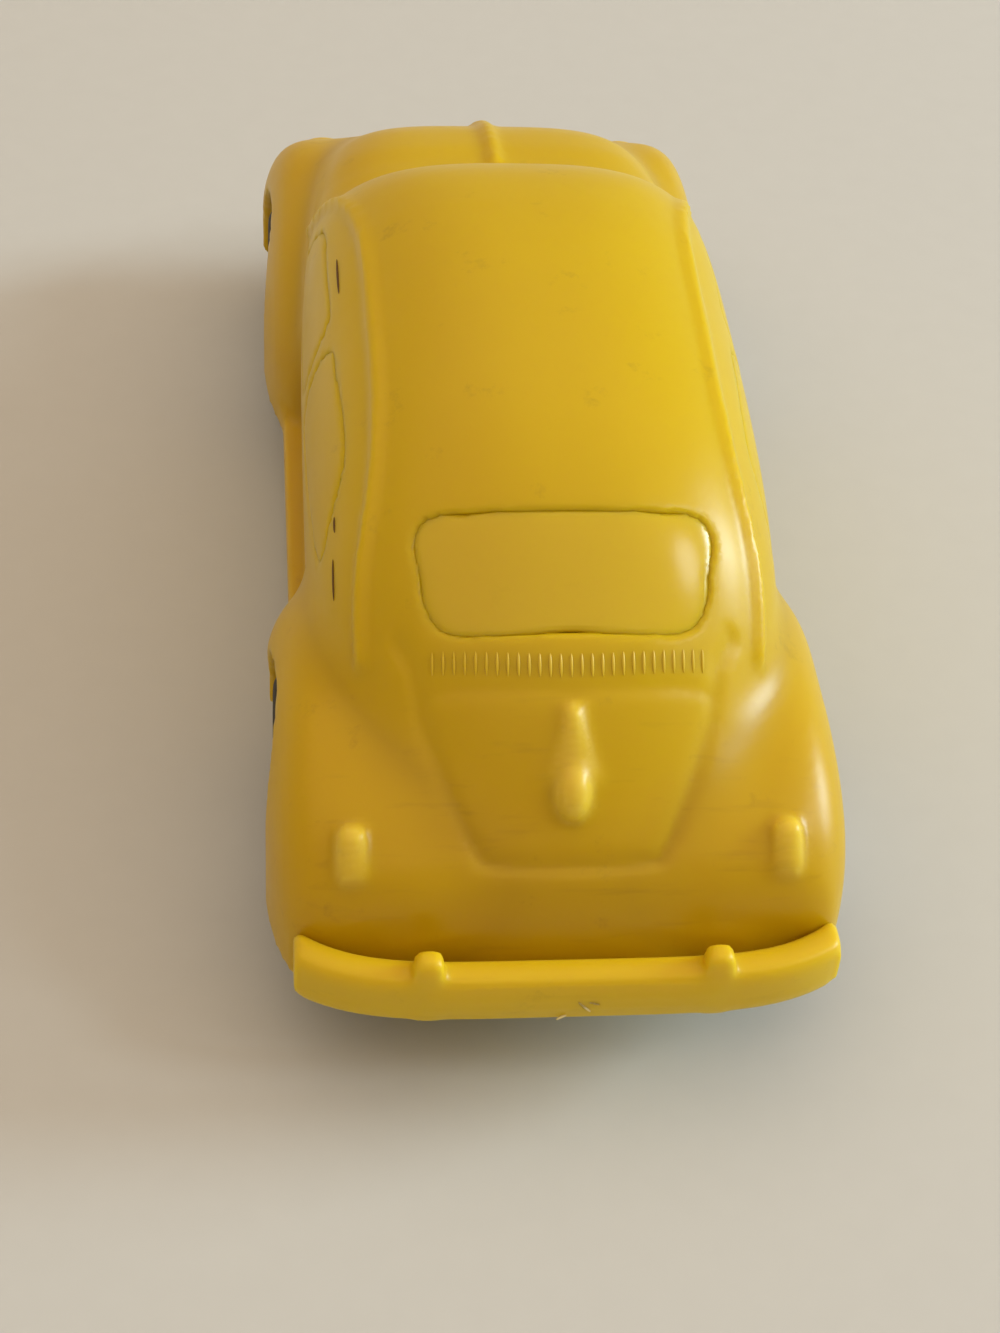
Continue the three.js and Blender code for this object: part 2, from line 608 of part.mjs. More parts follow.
// A bumper bar at one end of the car, 1 for the nose and -1 for the tail. Its ends wrap round the fenders.
function bumper(end) {
  const face = (end > 0 ? NOSE_Y : -TAIL_Y) + BUMPER_GAP + BUMPER_THICKNESS / 2;
  const reach = bumperHalfWidth - BUMPER_THICKNESS / 2;
  const middleZ = BUMPER_FOOT + BUMPER_HEIGHT / 2;
  const rings = Array.from({ length: BUMPER_STATIONS + 1 }, (_, i) => {
    const place = Math.sin((i / BUMPER_STATIONS - 0.5) * Math.PI);
    const x = reach * place;
    const steep = Math.abs(place) ** (BUMPER_BOW - 1);
    const away = face - BUMPER_WRAP * steep * Math.abs(place);
    const slope = (-BUMPER_BOW * BUMPER_WRAP * steep * Math.sign(place)) / reach;
    const normal = new THREE.Vector2(-slope, 1).normalize();
    const taper = i === 0 || i === BUMPER_STATIONS ? BUMPER_END_SHARE : 1;
    const ring = [];
    for (let side = 0; side < BUMPER_SIDES; side++) {
      const turn = (side / BUMPER_SIDES) * 2 * Math.PI;
      const thick = Math.sign(Math.cos(turn)) * Math.abs(Math.cos(turn)) ** BUMPER_FACE_POWER;
      const high = Math.sign(Math.sin(turn)) * Math.abs(Math.sin(turn)) ** BUMPER_EDGE_POWER;
      const out = (thick * taper * BUMPER_THICKNESS) / 2;
      const z = middleZ + (high * taper * BUMPER_HEIGHT) / 2;
      ring.push([x + normal.x * out, end * (away + normal.y * out), z]);
    }
    return end > 0 ? ring : ring.reverse();
  });
  const guards = [1, -1].map((side) => {
    const away = face - BUMPER_WRAP * (OVERRIDER.x / reach) ** BUMPER_BOW;
    return knob([side * OVERRIDER.x, end * away, middleZ + OVERRIDER.rise], OVERRIDER.size, 0);
  });
  return joined([solid(loft(rings)), ...guards, bracket(end, face)]);
}

// The sloping arm that joins a bumper to the plate, hidden under the bumper.
function bracket(end, face) {
  const back = face - BUMPER_THICKNESS / 2 + SEAT_GAP;
  const front = face + BUMPER_THICKNESS / 4;
  const root = back - BUMPER_FOOT;
  const top = BUMPER_FOOT + BUMPER_HEIGHT / 4;
  const corners = [
    [root, plateBottom], [back - BRACKET_TOE, plateBottom], [front, BUMPER_FOOT + SEAT_GAP],
    [front, top], [back, top], [back, plateTop], [root, plateTop],
  ];
  const shape = new THREE.Shape(corners.map((point) => new THREE.Vector2(...point)));
  const geometry = extruded(shape, 2 * BRACKET_HALF_WIDTH, 1);
  geometry.translate(0, 0, -BRACKET_HALF_WIDTH);
  const turn = new THREE.Matrix4().makeBasis(
    new THREE.Vector3(0, end, 0), new THREE.Vector3(0, 0, 1), new THREE.Vector3(end, 0, 0),
  );
  geometry.applyMatrix4(turn);
  return solid(geometry);
}

function basePlate() {
  const plate = extruded(plateOutline(), PLATE_THICKNESS, 1);
  plate.translate(0, 0, plateBottom);
  const axles = [[REAR_AXLE_Y, rearTrack], [FRONT_AXLE_Y, frontTrack]];
  const lugs = axles.flatMap(([y, track]) => [1, -1].map((side) => lug(y, track, side)));
  const whole = joined([solid(plate), ...lugs, bumper(1), bumper(-1)]);
  return without(whole, screwPlaces.map((y) => screwHole(y, SCREW_RADIUS + RUNNING_GAP)));
}

// A turned part about X. The profile lists [radius, distance out], and side is 1 or -1.
function turned(profile, side) {
  const points = profile.map((point) => new THREE.Vector2(...point));
  const geometry = new THREE.LatheGeometry(points, TYRE_SIDES, Math.PI / TYRE_SIDES);
  geometry.rotateZ((-side * Math.PI) / 2);
  return geometryOf(solid(geometry));
}

function tyre(side) {
  const bore = HUB_RADIUS + SEAT_GAP;
  const half = TYRE_WIDTH / 2;
  const wall = TYRE_RADIUS - bore;
  const inner = TYRE_SECTION.map(([up, out]) => [bore + wall * up, -half * out]);
  const outer = TYRE_SECTION.map(([up, out]) => [bore + wall * up, half * out]).reverse();
  return turned([...inner, ...outer, inner[0]], side);
}

function hub(side) {
  const half = TYRE_WIDTH / 2;
  const bore = AXLE_RADIUS + SEAT_GAP;
  const floor = half * HUB_BORE_SHARE;
  return turned([
    [0, floor],
    [bore, floor],
    [bore, -HUB_BOSS_REACH],
    [HUB_BOSS_RADIUS, -HUB_BOSS_REACH],
    [HUB_BOSS_RADIUS, -half * HUB_BACK_SHARE],
    [HUB_RADIUS, -half * HUB_BACK_SHARE],
    ...HUB_FACE.map(([radius, out]) => [HUB_RADIUS * radius, half * out]),
  ], side);
}

function axle(track) {
  const length = track + TYRE_WIDTH * HUB_BORE_SHARE - 2 * SEAT_GAP;
  return geometryOf(rod(AXLE_RADIUS, length, [0, 0, 0], "x"));
}

// A slotted screw with its head under the plate.
function screw() {
  const headTop = plateBottom - SEAT_GAP;
  const points = [
    [0, headTop - SCREW_HEAD_HEIGHT],
    [SCREW_HEAD_RADIUS - SCREW_HEAD_HEIGHT / 2, headTop - SCREW_HEAD_HEIGHT],
    [SCREW_HEAD_RADIUS, headTop - SCREW_HEAD_HEIGHT / 2],
    [SCREW_HEAD_RADIUS, headTop],
    [SCREW_RADIUS, headTop],
    [SCREW_RADIUS, plateTop + SCREW_LENGTH - 2 * SCREW_RADIUS],
    [0, plateTop + SCREW_LENGTH - SCREW_RADIUS],
  ].map((point) => new THREE.Vector2(...point));
  const lathe = new THREE.LatheGeometry(points, ROUND_SIDES);
  lathe.rotateX(Math.PI / 2);
  const slot = bar(
    [3 * SCREW_HEAD_RADIUS, SCREW_SLOT_WIDTH, SCREW_HEAD_HEIGHT],
    [0, 0, headTop - SCREW_HEAD_HEIGHT],
  );
  return geometryOf(solid(lathe).subtract(slot));
}

function material(color, roughness, metalness) {
  return new THREE.MeshStandardMaterial({ color, roughness, metalness });
}

function part(name, geometry, finish) {
  const mesh = new THREE.Mesh(geometry, finish);
  mesh.name = name;
  return mesh;
}

// An axle with its hubs and tyres, which turn as one.
function wheelset(name, axleY, track) {
  const group = new THREE.Group();
  group.position.set(0, axleY, AXLE_HEIGHT);
  group.add(part(name + "_axle", axle(track), material(0xb9bcc0, 0.35, 1)));
  for (const [hand, side] of [["left", -1], ["right", 1]]) {
    const wheel = new THREE.Group();
    wheel.position.x = (side * track) / 2;
    wheel.add(part("hub_" + name + "_" + hand, hub(side), material(0xd2cfc4, 0.45, 0)));
    wheel.add(part("tyre_" + name + "_" + hand, tyre(side), material(0x26231f, 0.75, 0)));
    group.add(wheel);
  }
  return group;
}

const car = new THREE.Group();
car.add(part("body_shell", geometryOf(bodyShell()), material(0xd6b21e, 0.35, 0)));
car.add(part("cabin_insert", geometryOf(cabinInsert()), material(0xd2ae30, 0.2, 0)));
car.add(part("base_plate", geometryOf(basePlate()), material(0xd6b21e, 0.4, 0)));
car.add(wheelset("rear", REAR_AXLE_Y, rearTrack));
car.add(wheelset("front", FRONT_AXLE_Y, frontTrack));
[["rear_screw", screwPlaces[0]], ["front_screw", screwPlaces[1]]].forEach(([name, y]) => {
  const mesh = part(name, screw(), material(0xa9abad, 0.4, 1));
  mesh.position.y = y;
  car.add(mesh);
});

export default car;
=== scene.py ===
"""Looks of a small translucent yellow toy car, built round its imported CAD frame."""

import math

import bpy
import numpy as np
from mathutils import Euler, Matrix, Vector


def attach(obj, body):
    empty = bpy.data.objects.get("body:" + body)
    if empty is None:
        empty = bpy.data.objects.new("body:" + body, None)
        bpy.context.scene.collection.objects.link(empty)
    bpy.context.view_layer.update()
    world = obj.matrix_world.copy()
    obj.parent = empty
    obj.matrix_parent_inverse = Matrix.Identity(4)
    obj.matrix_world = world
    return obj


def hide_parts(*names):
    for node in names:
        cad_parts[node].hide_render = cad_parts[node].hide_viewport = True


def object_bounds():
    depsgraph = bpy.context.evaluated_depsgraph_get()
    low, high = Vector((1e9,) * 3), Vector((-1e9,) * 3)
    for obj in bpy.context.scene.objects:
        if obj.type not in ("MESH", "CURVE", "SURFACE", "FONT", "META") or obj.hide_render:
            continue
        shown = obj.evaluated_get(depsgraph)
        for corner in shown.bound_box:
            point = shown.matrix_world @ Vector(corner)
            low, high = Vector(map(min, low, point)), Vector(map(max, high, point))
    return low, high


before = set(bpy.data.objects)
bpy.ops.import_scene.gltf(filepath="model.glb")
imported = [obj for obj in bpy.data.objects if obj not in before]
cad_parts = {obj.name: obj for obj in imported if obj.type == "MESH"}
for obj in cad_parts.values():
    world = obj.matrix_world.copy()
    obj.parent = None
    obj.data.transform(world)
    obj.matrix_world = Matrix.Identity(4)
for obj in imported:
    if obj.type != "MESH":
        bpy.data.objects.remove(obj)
cad_low, cad_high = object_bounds()
MM = 0.001
FAR = 99.0
TINY = 1e-3
STEEPEST = 1.5

# Lines along the car as (y, value) pairs in millimetres, the same as those of the solid model.
TAIL_Y = -29.8
NOSE_Y = 29.8
PROFILE = [
    (TAIL_Y, 5.4), (-29.2, 7.4), (-27.6, 10.1), (-25.7, 12.7), (-23.4, 15.3), (-21.3, 17.2), (-17.4, 20.3),
    (-13.5, 21.9), (-8, 22.7), (-2, 22.9), (3.5, 22.5), (6.8, 21.7), (8.8, 20.6), (10.8, 18.7), (12.6, 17.2),
    (15, 16.7), (18, 16.3), (21, 15.4), (24, 13.5), (26.5, 11), (28.6, 7.8), (NOSE_Y, 5.4),
]
HALF_WIDTH = [
    (TAIL_Y, 3.6), (-28, 4.7), (-25, 6.7), (-22, 8.5), (-18, 9.8), (-13, 10.3),
    (0, 10.4), (8, 10.1), (14, 9.6), (20, 8.9), (24, 7.9), (27.5, 6.2), (NOSE_Y, 4.4),
]
BELT = [
    (TAIL_Y, 4.6), (-26, 7.2), (-20, 10.4), (-12, 12), (0, 12.6),
    (10, 12.2), (16, 10.8), (22, 8.6), (27, 6), (NOSE_Y, 4.6),
]
SQUARENESS = [(TAIL_Y, 2.2), (-18, 2.3), (-2, 2.5), (8, 3), (22, 4), (NOSE_Y, 3)]
RAIL_TURN = [(-20, 62), (-14, 46), (-4, 41), (5, 44), (9, 55), (12, 74)]

# Body, fenders, aprons and boards
WALL = 1.1
SILL_HEIGHT = 4.0
SILL_TUCK = 0.5
REAR_AXLE_Y = -17.6
FRONT_AXLE_Y = 20.2
TYRE_RADIUS = 5.0
TYRE_SIDES = 24
AXLE_HEIGHT = TYRE_RADIUS * math.cos(math.pi / TYRE_SIDES)
ARCH_RADIUS = 5.7
FENDER_TOP = AXLE_HEIGHT + ARCH_RADIUS + 2.3
REAR_FENDER = {"axle": REAR_AXLE_Y, "half_width": 12.5, "back": 11.3, "front": 8.2}
FRONT_FENDER = {"axle": FRONT_AXLE_Y, "half_width": 12.1, "back": 12.0, "front": 8.9}
FENDER_CENTRE_X = 8.0
FENDER_INNER_REACH = 4.4
FENDER_FOOT = 4.8
REAR_APRON = {"middle": -20, "end": -29.4, "top": 11.6}
FRONT_APRON = {"middle": 20, "end": 29.2, "top": 10.6}
APRON_HALF_WIDTH = 11.0
BOARD_HALF_WIDTH = 11.1
BOARD_HEIGHT = 1.3
POST_RADIUS = 1.8
SCREW_PLACES = (TAIL_Y + 5.2, NOSE_Y - 5.2)
SCREW_HOLE = 0.75
SCREW_HOLE_TOP = 9.9

# Powers of the rounded sections, plans and rises of fenders and aprons, and the least shares that stay
SECTION_POWER = 3.4
PLAN_POWER = 4.0
RISE_POWER = 2.4
LEAST_PLAN = 0.3
LEAST_RISE = 0.12

# Fillets and rounded edges of the body
END_ROUND = 0.8
APRON_FILLET = 2.2
FENDER_FILLET = 1.6
BOARD_FILLET = 0.6
BOARD_ROUND = 0.5
REACH_ROUND = 0.4
DETAIL_FILLET = 0.4
EDGE_ROUND = 0.3
BODY_REACH = 29.85

# Raised details, with half-sizes across, along and up, and the tip about X in degrees
TAIL_LAMP = {"x": 9, "behind_axle": 9.3, "size": (0.58, 0.72, 1.2), "tip": -36, "power": 4}
HEADLAMP = {"x": 8.5, "ahead_of_axle": 7.6, "sunk": 0.9, "size": (1.8, 1.2, 1.8), "tip": 22}
LID_HANDLE = {"y": -25.8, "size": (0.75, 0.9, 1.25), "tip": -45}
HOOD_HANDLE = {"y": 23.4, "size": (0.5, 1.2, 0.35), "tip": -30}
HOOD_RIB = {"ends": (15.5, 25.4), "radius": 0.26}
RAIL = {"ends": (-20, 12), "radius": 0.27}
PLATE_LAMP = {"top": -23.6, "foot": -25.6, "half_width": 1.45, "rise": 0.75, "round": 0.3}
PLATE_LAMP_BELL = {"narrowing": 0.65, "shoulder": 0.55, "shoulder_power": 6, "climb": 0.6}
# Painted glow and highlight on the raised lamps, lid handle and plate lamp: how far out from a detail it
# fades, and how high above the body it is full
PAINTED_LIGHT_FADE = 0.25
PAINTED_LIGHT_RISE = 0.3

# Windows: outline corners in the plane of each window
REAR_WINDOW = {"foot": (-21.3, 17.2), "head": (-17.4, 20.3), "corners": [(5.6, -2.5), (6.3, 2.5)]}
WINDSHIELD = {"foot": (12.6, 17.2), "head": (8.8, 20.6), "corners": [(7, -1.9), (6.4, 1.9)]}
DOOR_WINDOW = [(-2, 14.3), (9, 14.3), (6.6, 18.3), (-2, 18.6)]
QUARTER_WINDOW = [(-14.6, 14.5), (-3.4, 14.3), (-3.4, 18.6), (-11.6, 18.3)]

# Lid line and the line under the louvres, as (half-width, y) from above, and the louvres
LID_LINE = [
    (7.0, -20.2), (6.35, -21.3), (5.95, -23.05), (4.95, -25.3),
    (4.2, -26.7), (3.6, -27.5), (1.8, -27.7), (0, -27.74),
]
LID_DEPTH = 0.14
LOUVRE_LINE = [(5.8, -22.3), (3, -22.85), (0, -23.1)]
LOUVRE_LINE_DEPTH = 0.07
LINE_WIDTH = 0.3
TAIL_STRETCH = 1.4
LOUVRE_COUNT = 27
LOUVRE_SPAN = 5.6
LOUVRE_MIDDLE = -22.35
LOUVRE_BOW = 0.82
LOUVRE_SIZE = (0.07, 0.5, 0.06)

# The ribs get a painted highlight at their upper ends, less to the left, away from the light: where on the
# span the highlight starts, over how much of it the highlight grows, and the least highlight
RIB_HIGHLIGHT_FROM = -0.65
RIB_HIGHLIGHT_OVER = 0.35
RIB_HIGHLIGHT_LEAST = 0.15

# Rings and sides of the small blobs that ribs, slits and scratches are made of
BLOB_RINGS = 7
BLOB_SIDES = 8

# Dark slits that paint the shade in the gaps where the window moulding stands off the left roof edge, as (x,
# y, length)
SLITS = [(-8.75, 0.7, 2.8), (-9.45, -16.1, 1.9), (-9.35, -13.9, 0.8)]
SLIT_HALF_WIDTH = 0.07
SLIT_RISE = 0.06

# Places of the added finishes among a piece's materials
RIB_FINISH = 1
SLIT_FINISH = 2
SCRATCH_FINISH = 1
SIDE_PANE_FINISH = 1
SIDE_PANE_FROM = 8.2

# Scratches on the rear bumper, as (x, z, length, lean in degrees)
SCRATCHES = [(0.45, 5.75, 0.9, -50), (0.85, 5.95, 0.5, -20), (-0.45, 5.1, 0.5, 35)]
SCRATCH_Y = -31.51
SCRATCH_HALF_WIDTH = 0.07
SCRATCH_RISE = 0.06

# Window moulding: how deep its panes lie, how far they lap under the edges, and its skin
WINDOW_CORNER = 1.6
WINDOW_DEPTH = (-4.8, 3.2)
SIDE_WINDOW_START = 3
END_PANE = {"sunk": 0.12, "lap": 0.2, "round": 0.15}
SIDE_PANE = {"sunk": 0.02, "lap": 0.2, "round": 0.1}
UPPER_CRACK = {"x": 5, "width": 1.4, "opening": 0.3, "above": 19.6}
LOWER_CRACK = {"x": 0, "width": 1.2, "opening": 0.25, "below": 17.6}
INSERT_INSET = WALL + 0.25
INSERT_WALL = 0.8
INSERT_FOOT = 13.2
INSERT_ENDS = (-22, 13.4)

# Base plate as (y, half-width), its lugs, and the bumpers with their arms
PLATE_BOTTOM = 2.7
PLATE_TOP = 3.9
PLATE_ROUND = 0.2
PLATE_END = 29.2
PLATE_EDGE = [
    (-PLATE_END, 5.5), (-26.8, 7.9), (-11.2, 7.9), (-8.7, 10.4),
    (11.3, 10.4), (13.8, 7.9), (26.8, 7.9), (PLATE_END, 5.5),
]
LUG_RADIUS = 1.5
LUG_HALF_THICKNESS = 0.65
LUG_FOOT = 3.3
LUG_BORE = 0.75
REAR_LUG_OUTSIDE = 7.9
FRONT_LUG_OUTSIDE = 7.6
BUMPER_GAP = 0.4
BUMPER_OUTER_HALF = 0.65
BUMPER_INNER_HALF = 0.95
BUMPER_HALF_HEIGHT = 1.3
BUMPER_MIDDLE = 6.0
BUMPER_REACH = 11.8 - BUMPER_OUTER_HALF
BUMPER_FACE = NOSE_Y + BUMPER_GAP + BUMPER_OUTER_HALF
BUMPER_WRAP = 1.6
BUMPER_BOW = 5
BUMPER_POWERS = {"thick": 2.86, "tall": 4, "whole": 3.4}
BUMPER_END = {"past": 0.2, "round": 0.5}
OVERRIDER = {"x": 5.95, "z": 6.5, "size": (0.66, 0.6, 1.75), "power": 4, "fillet": 0.3}
ARM = {"y": 28.8, "half_length": 2.2, "half_width": 5, "z": 4.0, "half_height": 1.3, "back": 30.3}
ARM_SLOPE = {"y": 30.2, "z": 3.6, "lean": 0.8, "steepness": 1.3}


def line(pairs):
    """A smooth value along the car through (place, value) pairs, straight-ended."""
    places = np.array([p for p, _ in pairs], float)
    values = np.array([v for _, v in pairs], float)

    def value(at):
        at = np.clip(at, places[0], places[-1])
        i = np.clip(np.searchsorted(places, at, "right"), 1, len(places) - 1)
        t0, t1, v0, v1 = places[i - 1], places[i], values[i - 1], values[i]
        first, last = i == 1, i == len(places) - 1
        tp = np.where(first, t1, places[np.maximum(i - 2, 0)])
        vp = np.where(first, v1, values[np.maximum(i - 2, 0)])
        tn = np.where(last, t0, places[np.minimum(i + 1, len(places) - 1)])
        vn = np.where(last, v0, values[np.minimum(i + 1, len(places) - 1)])
        half = (t1 - t0) / 2
        wp, wn = half / (t0 - tp), half / (tn - t1)
        p = (at - t0) / (t1 - t0)
        return (
            vp * (-wp * p ** 3 + 2 * wp * p ** 2 - wp * p)
            + v0 * ((1 + wp) * p ** 3 + (-1.5 - 2 * wp) * p ** 2 + (wp - 0.5) * p + 1)
            + v1 * ((-1 - wn) * p ** 3 + (1.5 + wn) * p ** 2 + 0.5 * p)
            + vn * (wn * p ** 3 - wn * p ** 2)
        )

    return value


profile_at = line(PROFILE)
half_width_at = line(HALF_WIDTH)
belt_at = line(BELT)
squareness_at = line(SQUARENESS)
rail_turn_at = line(RAIL_TURN)


def smooth_min(a, b, k):
    """Union of two fields with a fillet of about k."""
    near = np.maximum(k - np.abs(a - b), 0) / k
    return np.minimum(a, b) - near * near * k / 4


def smooth_max(a, b, k):
    """Shared part of two fields with an edge rounded by about k."""
    return -smooth_min(-a, -b, k)


def spread(*stretches):
    """Grid lines over joined stretches, each (from, to, spacing)."""
    runs = [np.linspace(a, b, max(2, round((b - a) / step) + 1))[:-1] for a, b, step in stretches]
    return np.append(np.concatenate(runs), stretches[-1][1])


class Grid:
    """A box of sample points on the right half of the car, symmetric about x = 0."""

    def __init__(self, reach, x_step, y_lines, z_lines):
        self.xs = np.arange(x_step / 2, reach, x_step)
        self.ys = y_lines
        self.zs = z_lines
        self.x, self.y, self.z = np.meshgrid(self.xs, self.ys, self.zs, indexing="ij")

    def distance(self, level):
        """Nearly the distance in millimetres to where a level field is zero. Steep ends count for less."""
        across, along, up = np.gradient(level, self.xs, self.ys, self.zs)
        flat = np.hypot(across, up)
        steep = np.hypot(flat, np.minimum(np.abs(along), STEEPEST * flat))
        return level / np.maximum(steep, TINY)

    def mirrored(self, field):
        """A field over both halves of the car, with its grid lines across."""
        return np.concatenate([field[::-1], field]), np.concatenate([-self.xs[::-1], self.xs])


def net(field, xs, ys, zs):
    """Points, four-sided faces and grid places of the surface where the field is zero."""
    inside = field < 0
    cells = tuple(n - 1 for n in field.shape)
    corners = [(i, j, k) for i in (0, 1) for j in (0, 1) for k in (0, 1)]
    count = np.zeros(cells, np.int8)
    for i, j, k in corners:
        count += inside[i:i + cells[0], j:j + cells[1], k:k + cells[2]]
    busy = np.argwhere((count > 0) & (count < 8))
    total = np.zeros((len(busy), 3))
    hits = np.zeros(len(busy))
    for a in corners:
        for axis in range(3):
            if a[axis]:
                continue
            step = np.eye(3, dtype=int)[axis]
            start = busy + a
            fa = field[tuple(start.T)]
            fb = field[tuple((start + step).T)]
            cut = (fa < 0) != (fb < 0)
            part = np.where(cut, fa / np.where(cut, fa - fb, 1), 0)
            total += cut[:, None] * (start + part[:, None] * step)
            hits += cut
    where = total / hits[:, None]
    points = np.stack([np.interp(where[:, n], np.arange(len(s)), s) for n, s in enumerate((xs, ys, zs))], 1)
    number = np.full(cells, -1, np.int32)
    number[tuple(busy.T)] = np.arange(len(busy))
    faces = []
    for axis in range(3):
        b, c = (axis + 1) % 3, (axis + 2) % 3
        lower = [slice(None)] * 3
        upper = [slice(None)] * 3
        lower[axis], upper[axis] = slice(None, -1), slice(1, None)
        for other in (b, c):
            lower[other] = upper[other] = slice(1, -1)
        enters = inside[tuple(upper)] & ~inside[tuple(lower)]
        leaves = inside[tuple(lower)] & ~inside[tuple(upper)]
        for crossing, order in ((leaves, 1), (enters, -1)):
            at = np.argwhere(crossing)
            at[:, b] += 1
            at[:, c] += 1
            ring = []
            for db, dc in ((-1, -1), (0, -1), (0, 0), (-1, 0)):
                cell = at.copy()
                cell[:, b] += db
                cell[:, c] += dc
                ring.append(number[tuple(cell.T)])
            faces.append(np.stack(ring, 1)[:, ::order])
    return points, np.concatenate(faces), where


def sampled(field, where):
    """Values of a field between its grid points, at fractional places."""
    base = np.minimum(where.astype(int), np.array(field.shape) - 2)
    part = where - base
    out = np.zeros(len(where))
    for i in (0, 1):
        for j in (0, 1):
            for k in (0, 1):
                weight = np.prod(np.where([i, j, k], part, 1 - part), axis=1)
                out += weight * field[tuple((base + (i, j, k)).T)]
    return out


def hull_field(g):
    """The main body: rounded sections strung along the car."""
    belt = belt_at(g.ys)[None, :, None]
    top = profile_at(g.ys)[None, :, None]
    width = half_width_at(g.ys)[None, :, None]
    power = squareness_at(g.ys)[None, :, None]
    high = np.clip((g.z - belt) / (top - belt), 0, None)
    down = np.clip((belt - g.z) / (belt - SILL_HEIGHT), 0, 1.5)
    # The sides tuck in faster towards the sill.
    tuck = SILL_TUCK * np.where(down < 0.5, down / 2, 1.5 * down - 0.5)
    level = ((g.x / (width - tuck)) ** power + high ** power) ** (1 / power) - 1
    made = g.distance(level)
    return smooth_max(made, np.maximum(TAIL_Y - g.y, g.y - NOSE_Y), END_ROUND)


def share(place, power, least):
    """How much of a rounded form is left at a place between its middle, 0, and its end, 1."""
    return np.maximum((1 - np.minimum(np.abs(place), 1) ** power) ** (1 / power), least)


def fender_field(g, form):
    """A fender: rounded sections that shrink towards both ends."""
    away = g.ys - form["axle"]
    place = np.where(away < 0, away / form["back"], away / form["front"])
    plan = share(place, PLAN_POWER, LEAST_PLAN)[None, :, None]
    rise = (FENDER_TOP - FENDER_FOOT) * share(place, RISE_POWER, LEAST_RISE)[None, :, None]
    across = g.x - FENDER_CENTRE_X
    room = np.where(across > 0, form["half_width"] - FENDER_CENTRE_X, FENDER_INNER_REACH) * plan
    high = np.clip((g.z - FENDER_FOOT) / rise, 0, None)
    made = g.distance(
        ((np.abs(across) / room) ** SECTION_POWER + high ** SECTION_POWER) ** (1 / SECTION_POWER) - 1
    )
    end = np.where(away < 0, -away - form["back"], away - form["front"])[None, :, None]
    return smooth_max(made, end, END_ROUND)


def apron_field(g, form):
    """An apron across one end of the car, from its middle outwards."""
    reach = form["end"] - form["middle"]
    place = np.clip((g.ys - form["middle"]) / reach, 0, None)
    plan = APRON_HALF_WIDTH * share(place, PLAN_POWER, LEAST_PLAN)[None, :, None]
    rise = (form["top"] - FENDER_FOOT) * share(place, RISE_POWER, LEAST_RISE)[None, :, None]
    high = np.clip((g.z - FENDER_FOOT) / rise, 0, None)
    made = g.distance(((g.x / plan) ** SECTION_POWER + high ** SECTION_POWER) ** (1 / SECTION_POWER) - 1)
    sign = math.copysign(1, reach)
    made = smooth_max(made, sign * (g.y - form["end"]), END_ROUND)
    return np.maximum(made, -sign * (g.y - form["middle"]))


def knob_field(g, centre, size, tip, power=2):
    """A rounded knob, tipped about X by so many degrees. A higher power makes it boxier."""
    turn = math.radians(tip)
    y, z = g.y - centre[1], g.z - centre[2]
    along = y * math.cos(turn) + z * math.sin(turn)
    up = z * math.cos(turn) - y * math.sin(turn)
    parts = [(g.x - centre[0]), along, up]
    near = sum(np.abs(p / s) ** power for p, s in zip(parts, size)) ** (1 / power)
    steep = np.sqrt(sum((np.abs(p / s) ** (power - 1) / s) ** 2 for p, s in zip(parts, size)))
    return near ** (power - 1) * (near - 1) / np.maximum(steep, TINY)


def crest_at(form, y):
    """Height of a fender's top at y."""
    away = y - form["axle"]
    place = away / (form["back"] if away < 0 else form["front"])
    return FENDER_FOOT + (FENDER_TOP - FENDER_FOOT) * float(share(np.array(place), RISE_POWER, 0))


def ridge_field(g, x_of, z_of, ends, radius):
    """A round ridge that follows x(y) and z(y) between two places along the car."""
    x, z = x_of(g.ys), z_of(g.ys)
    lean = np.sqrt(1 + np.gradient(x, g.ys) ** 2 + np.gradient(z, g.ys) ** 2)[None, :, None]
    apart = np.hypot(g.x - x[None, :, None], g.z - z[None, :, None]) / lean
    beyond = np.maximum(np.maximum(ends[0] - g.y, g.y - ends[1]), 0)
    return np.hypot(apart, beyond) - radius


def plate_lamp_field(g):
    """The bell-shaped housing of the number-plate lamp."""
    top, foot, rise = PLATE_LAMP["top"], PLATE_LAMP["foot"], PLATE_LAMP["rise"]
    part = np.clip((g.ys - foot) / (top - foot), 0, 1)
    bell = PLATE_LAMP_BELL
    width = PLATE_LAMP["half_width"] * (1 - bell["narrowing"] * np.sin(part * math.pi / 2))
    level = bell["shoulder"] * (1 - part ** bell["shoulder_power"]) + bell["climb"] * part
    ground = profile_at(g.ys) - rise
    high = np.clip((g.z - ground[None, :, None]) / (rise * (1 + level))[None, :, None], 0, None)
    made = g.distance(np.hypot(g.x / width[None, :, None], high) - 1)
    return smooth_max(made, np.maximum(foot - g.y, g.y - top), PLATE_LAMP["round"])


def rail_x(y):
    """Distance of the drip rail from the middle of the car."""
    turn = np.radians(rail_turn_at(y))
    return half_width_at(y) * np.sin(turn) ** (2 / squareness_at(y))


def rail_z(y):
    """Height of the drip rail."""
    turn = np.radians(rail_turn_at(y))
    return belt_at(y) + (profile_at(y) - belt_at(y)) * np.cos(turn) ** (2 / squareness_at(y))


def outline_field(across, up, corners, corner):
    """Distance inside or outside a straight-sided outline with rounded corners, listed anticlockwise."""
    made = None
    for (x0, y0), (x1, y1) in zip(corners, corners[1:] + corners[:1]):
        length = math.hypot(x1 - x0, y1 - y0)
        side = ((across - x0) * (y1 - y0) - (up - y0) * (x1 - x0)) / length
        made = side if made is None else smooth_max(made, side, corner)
    return made


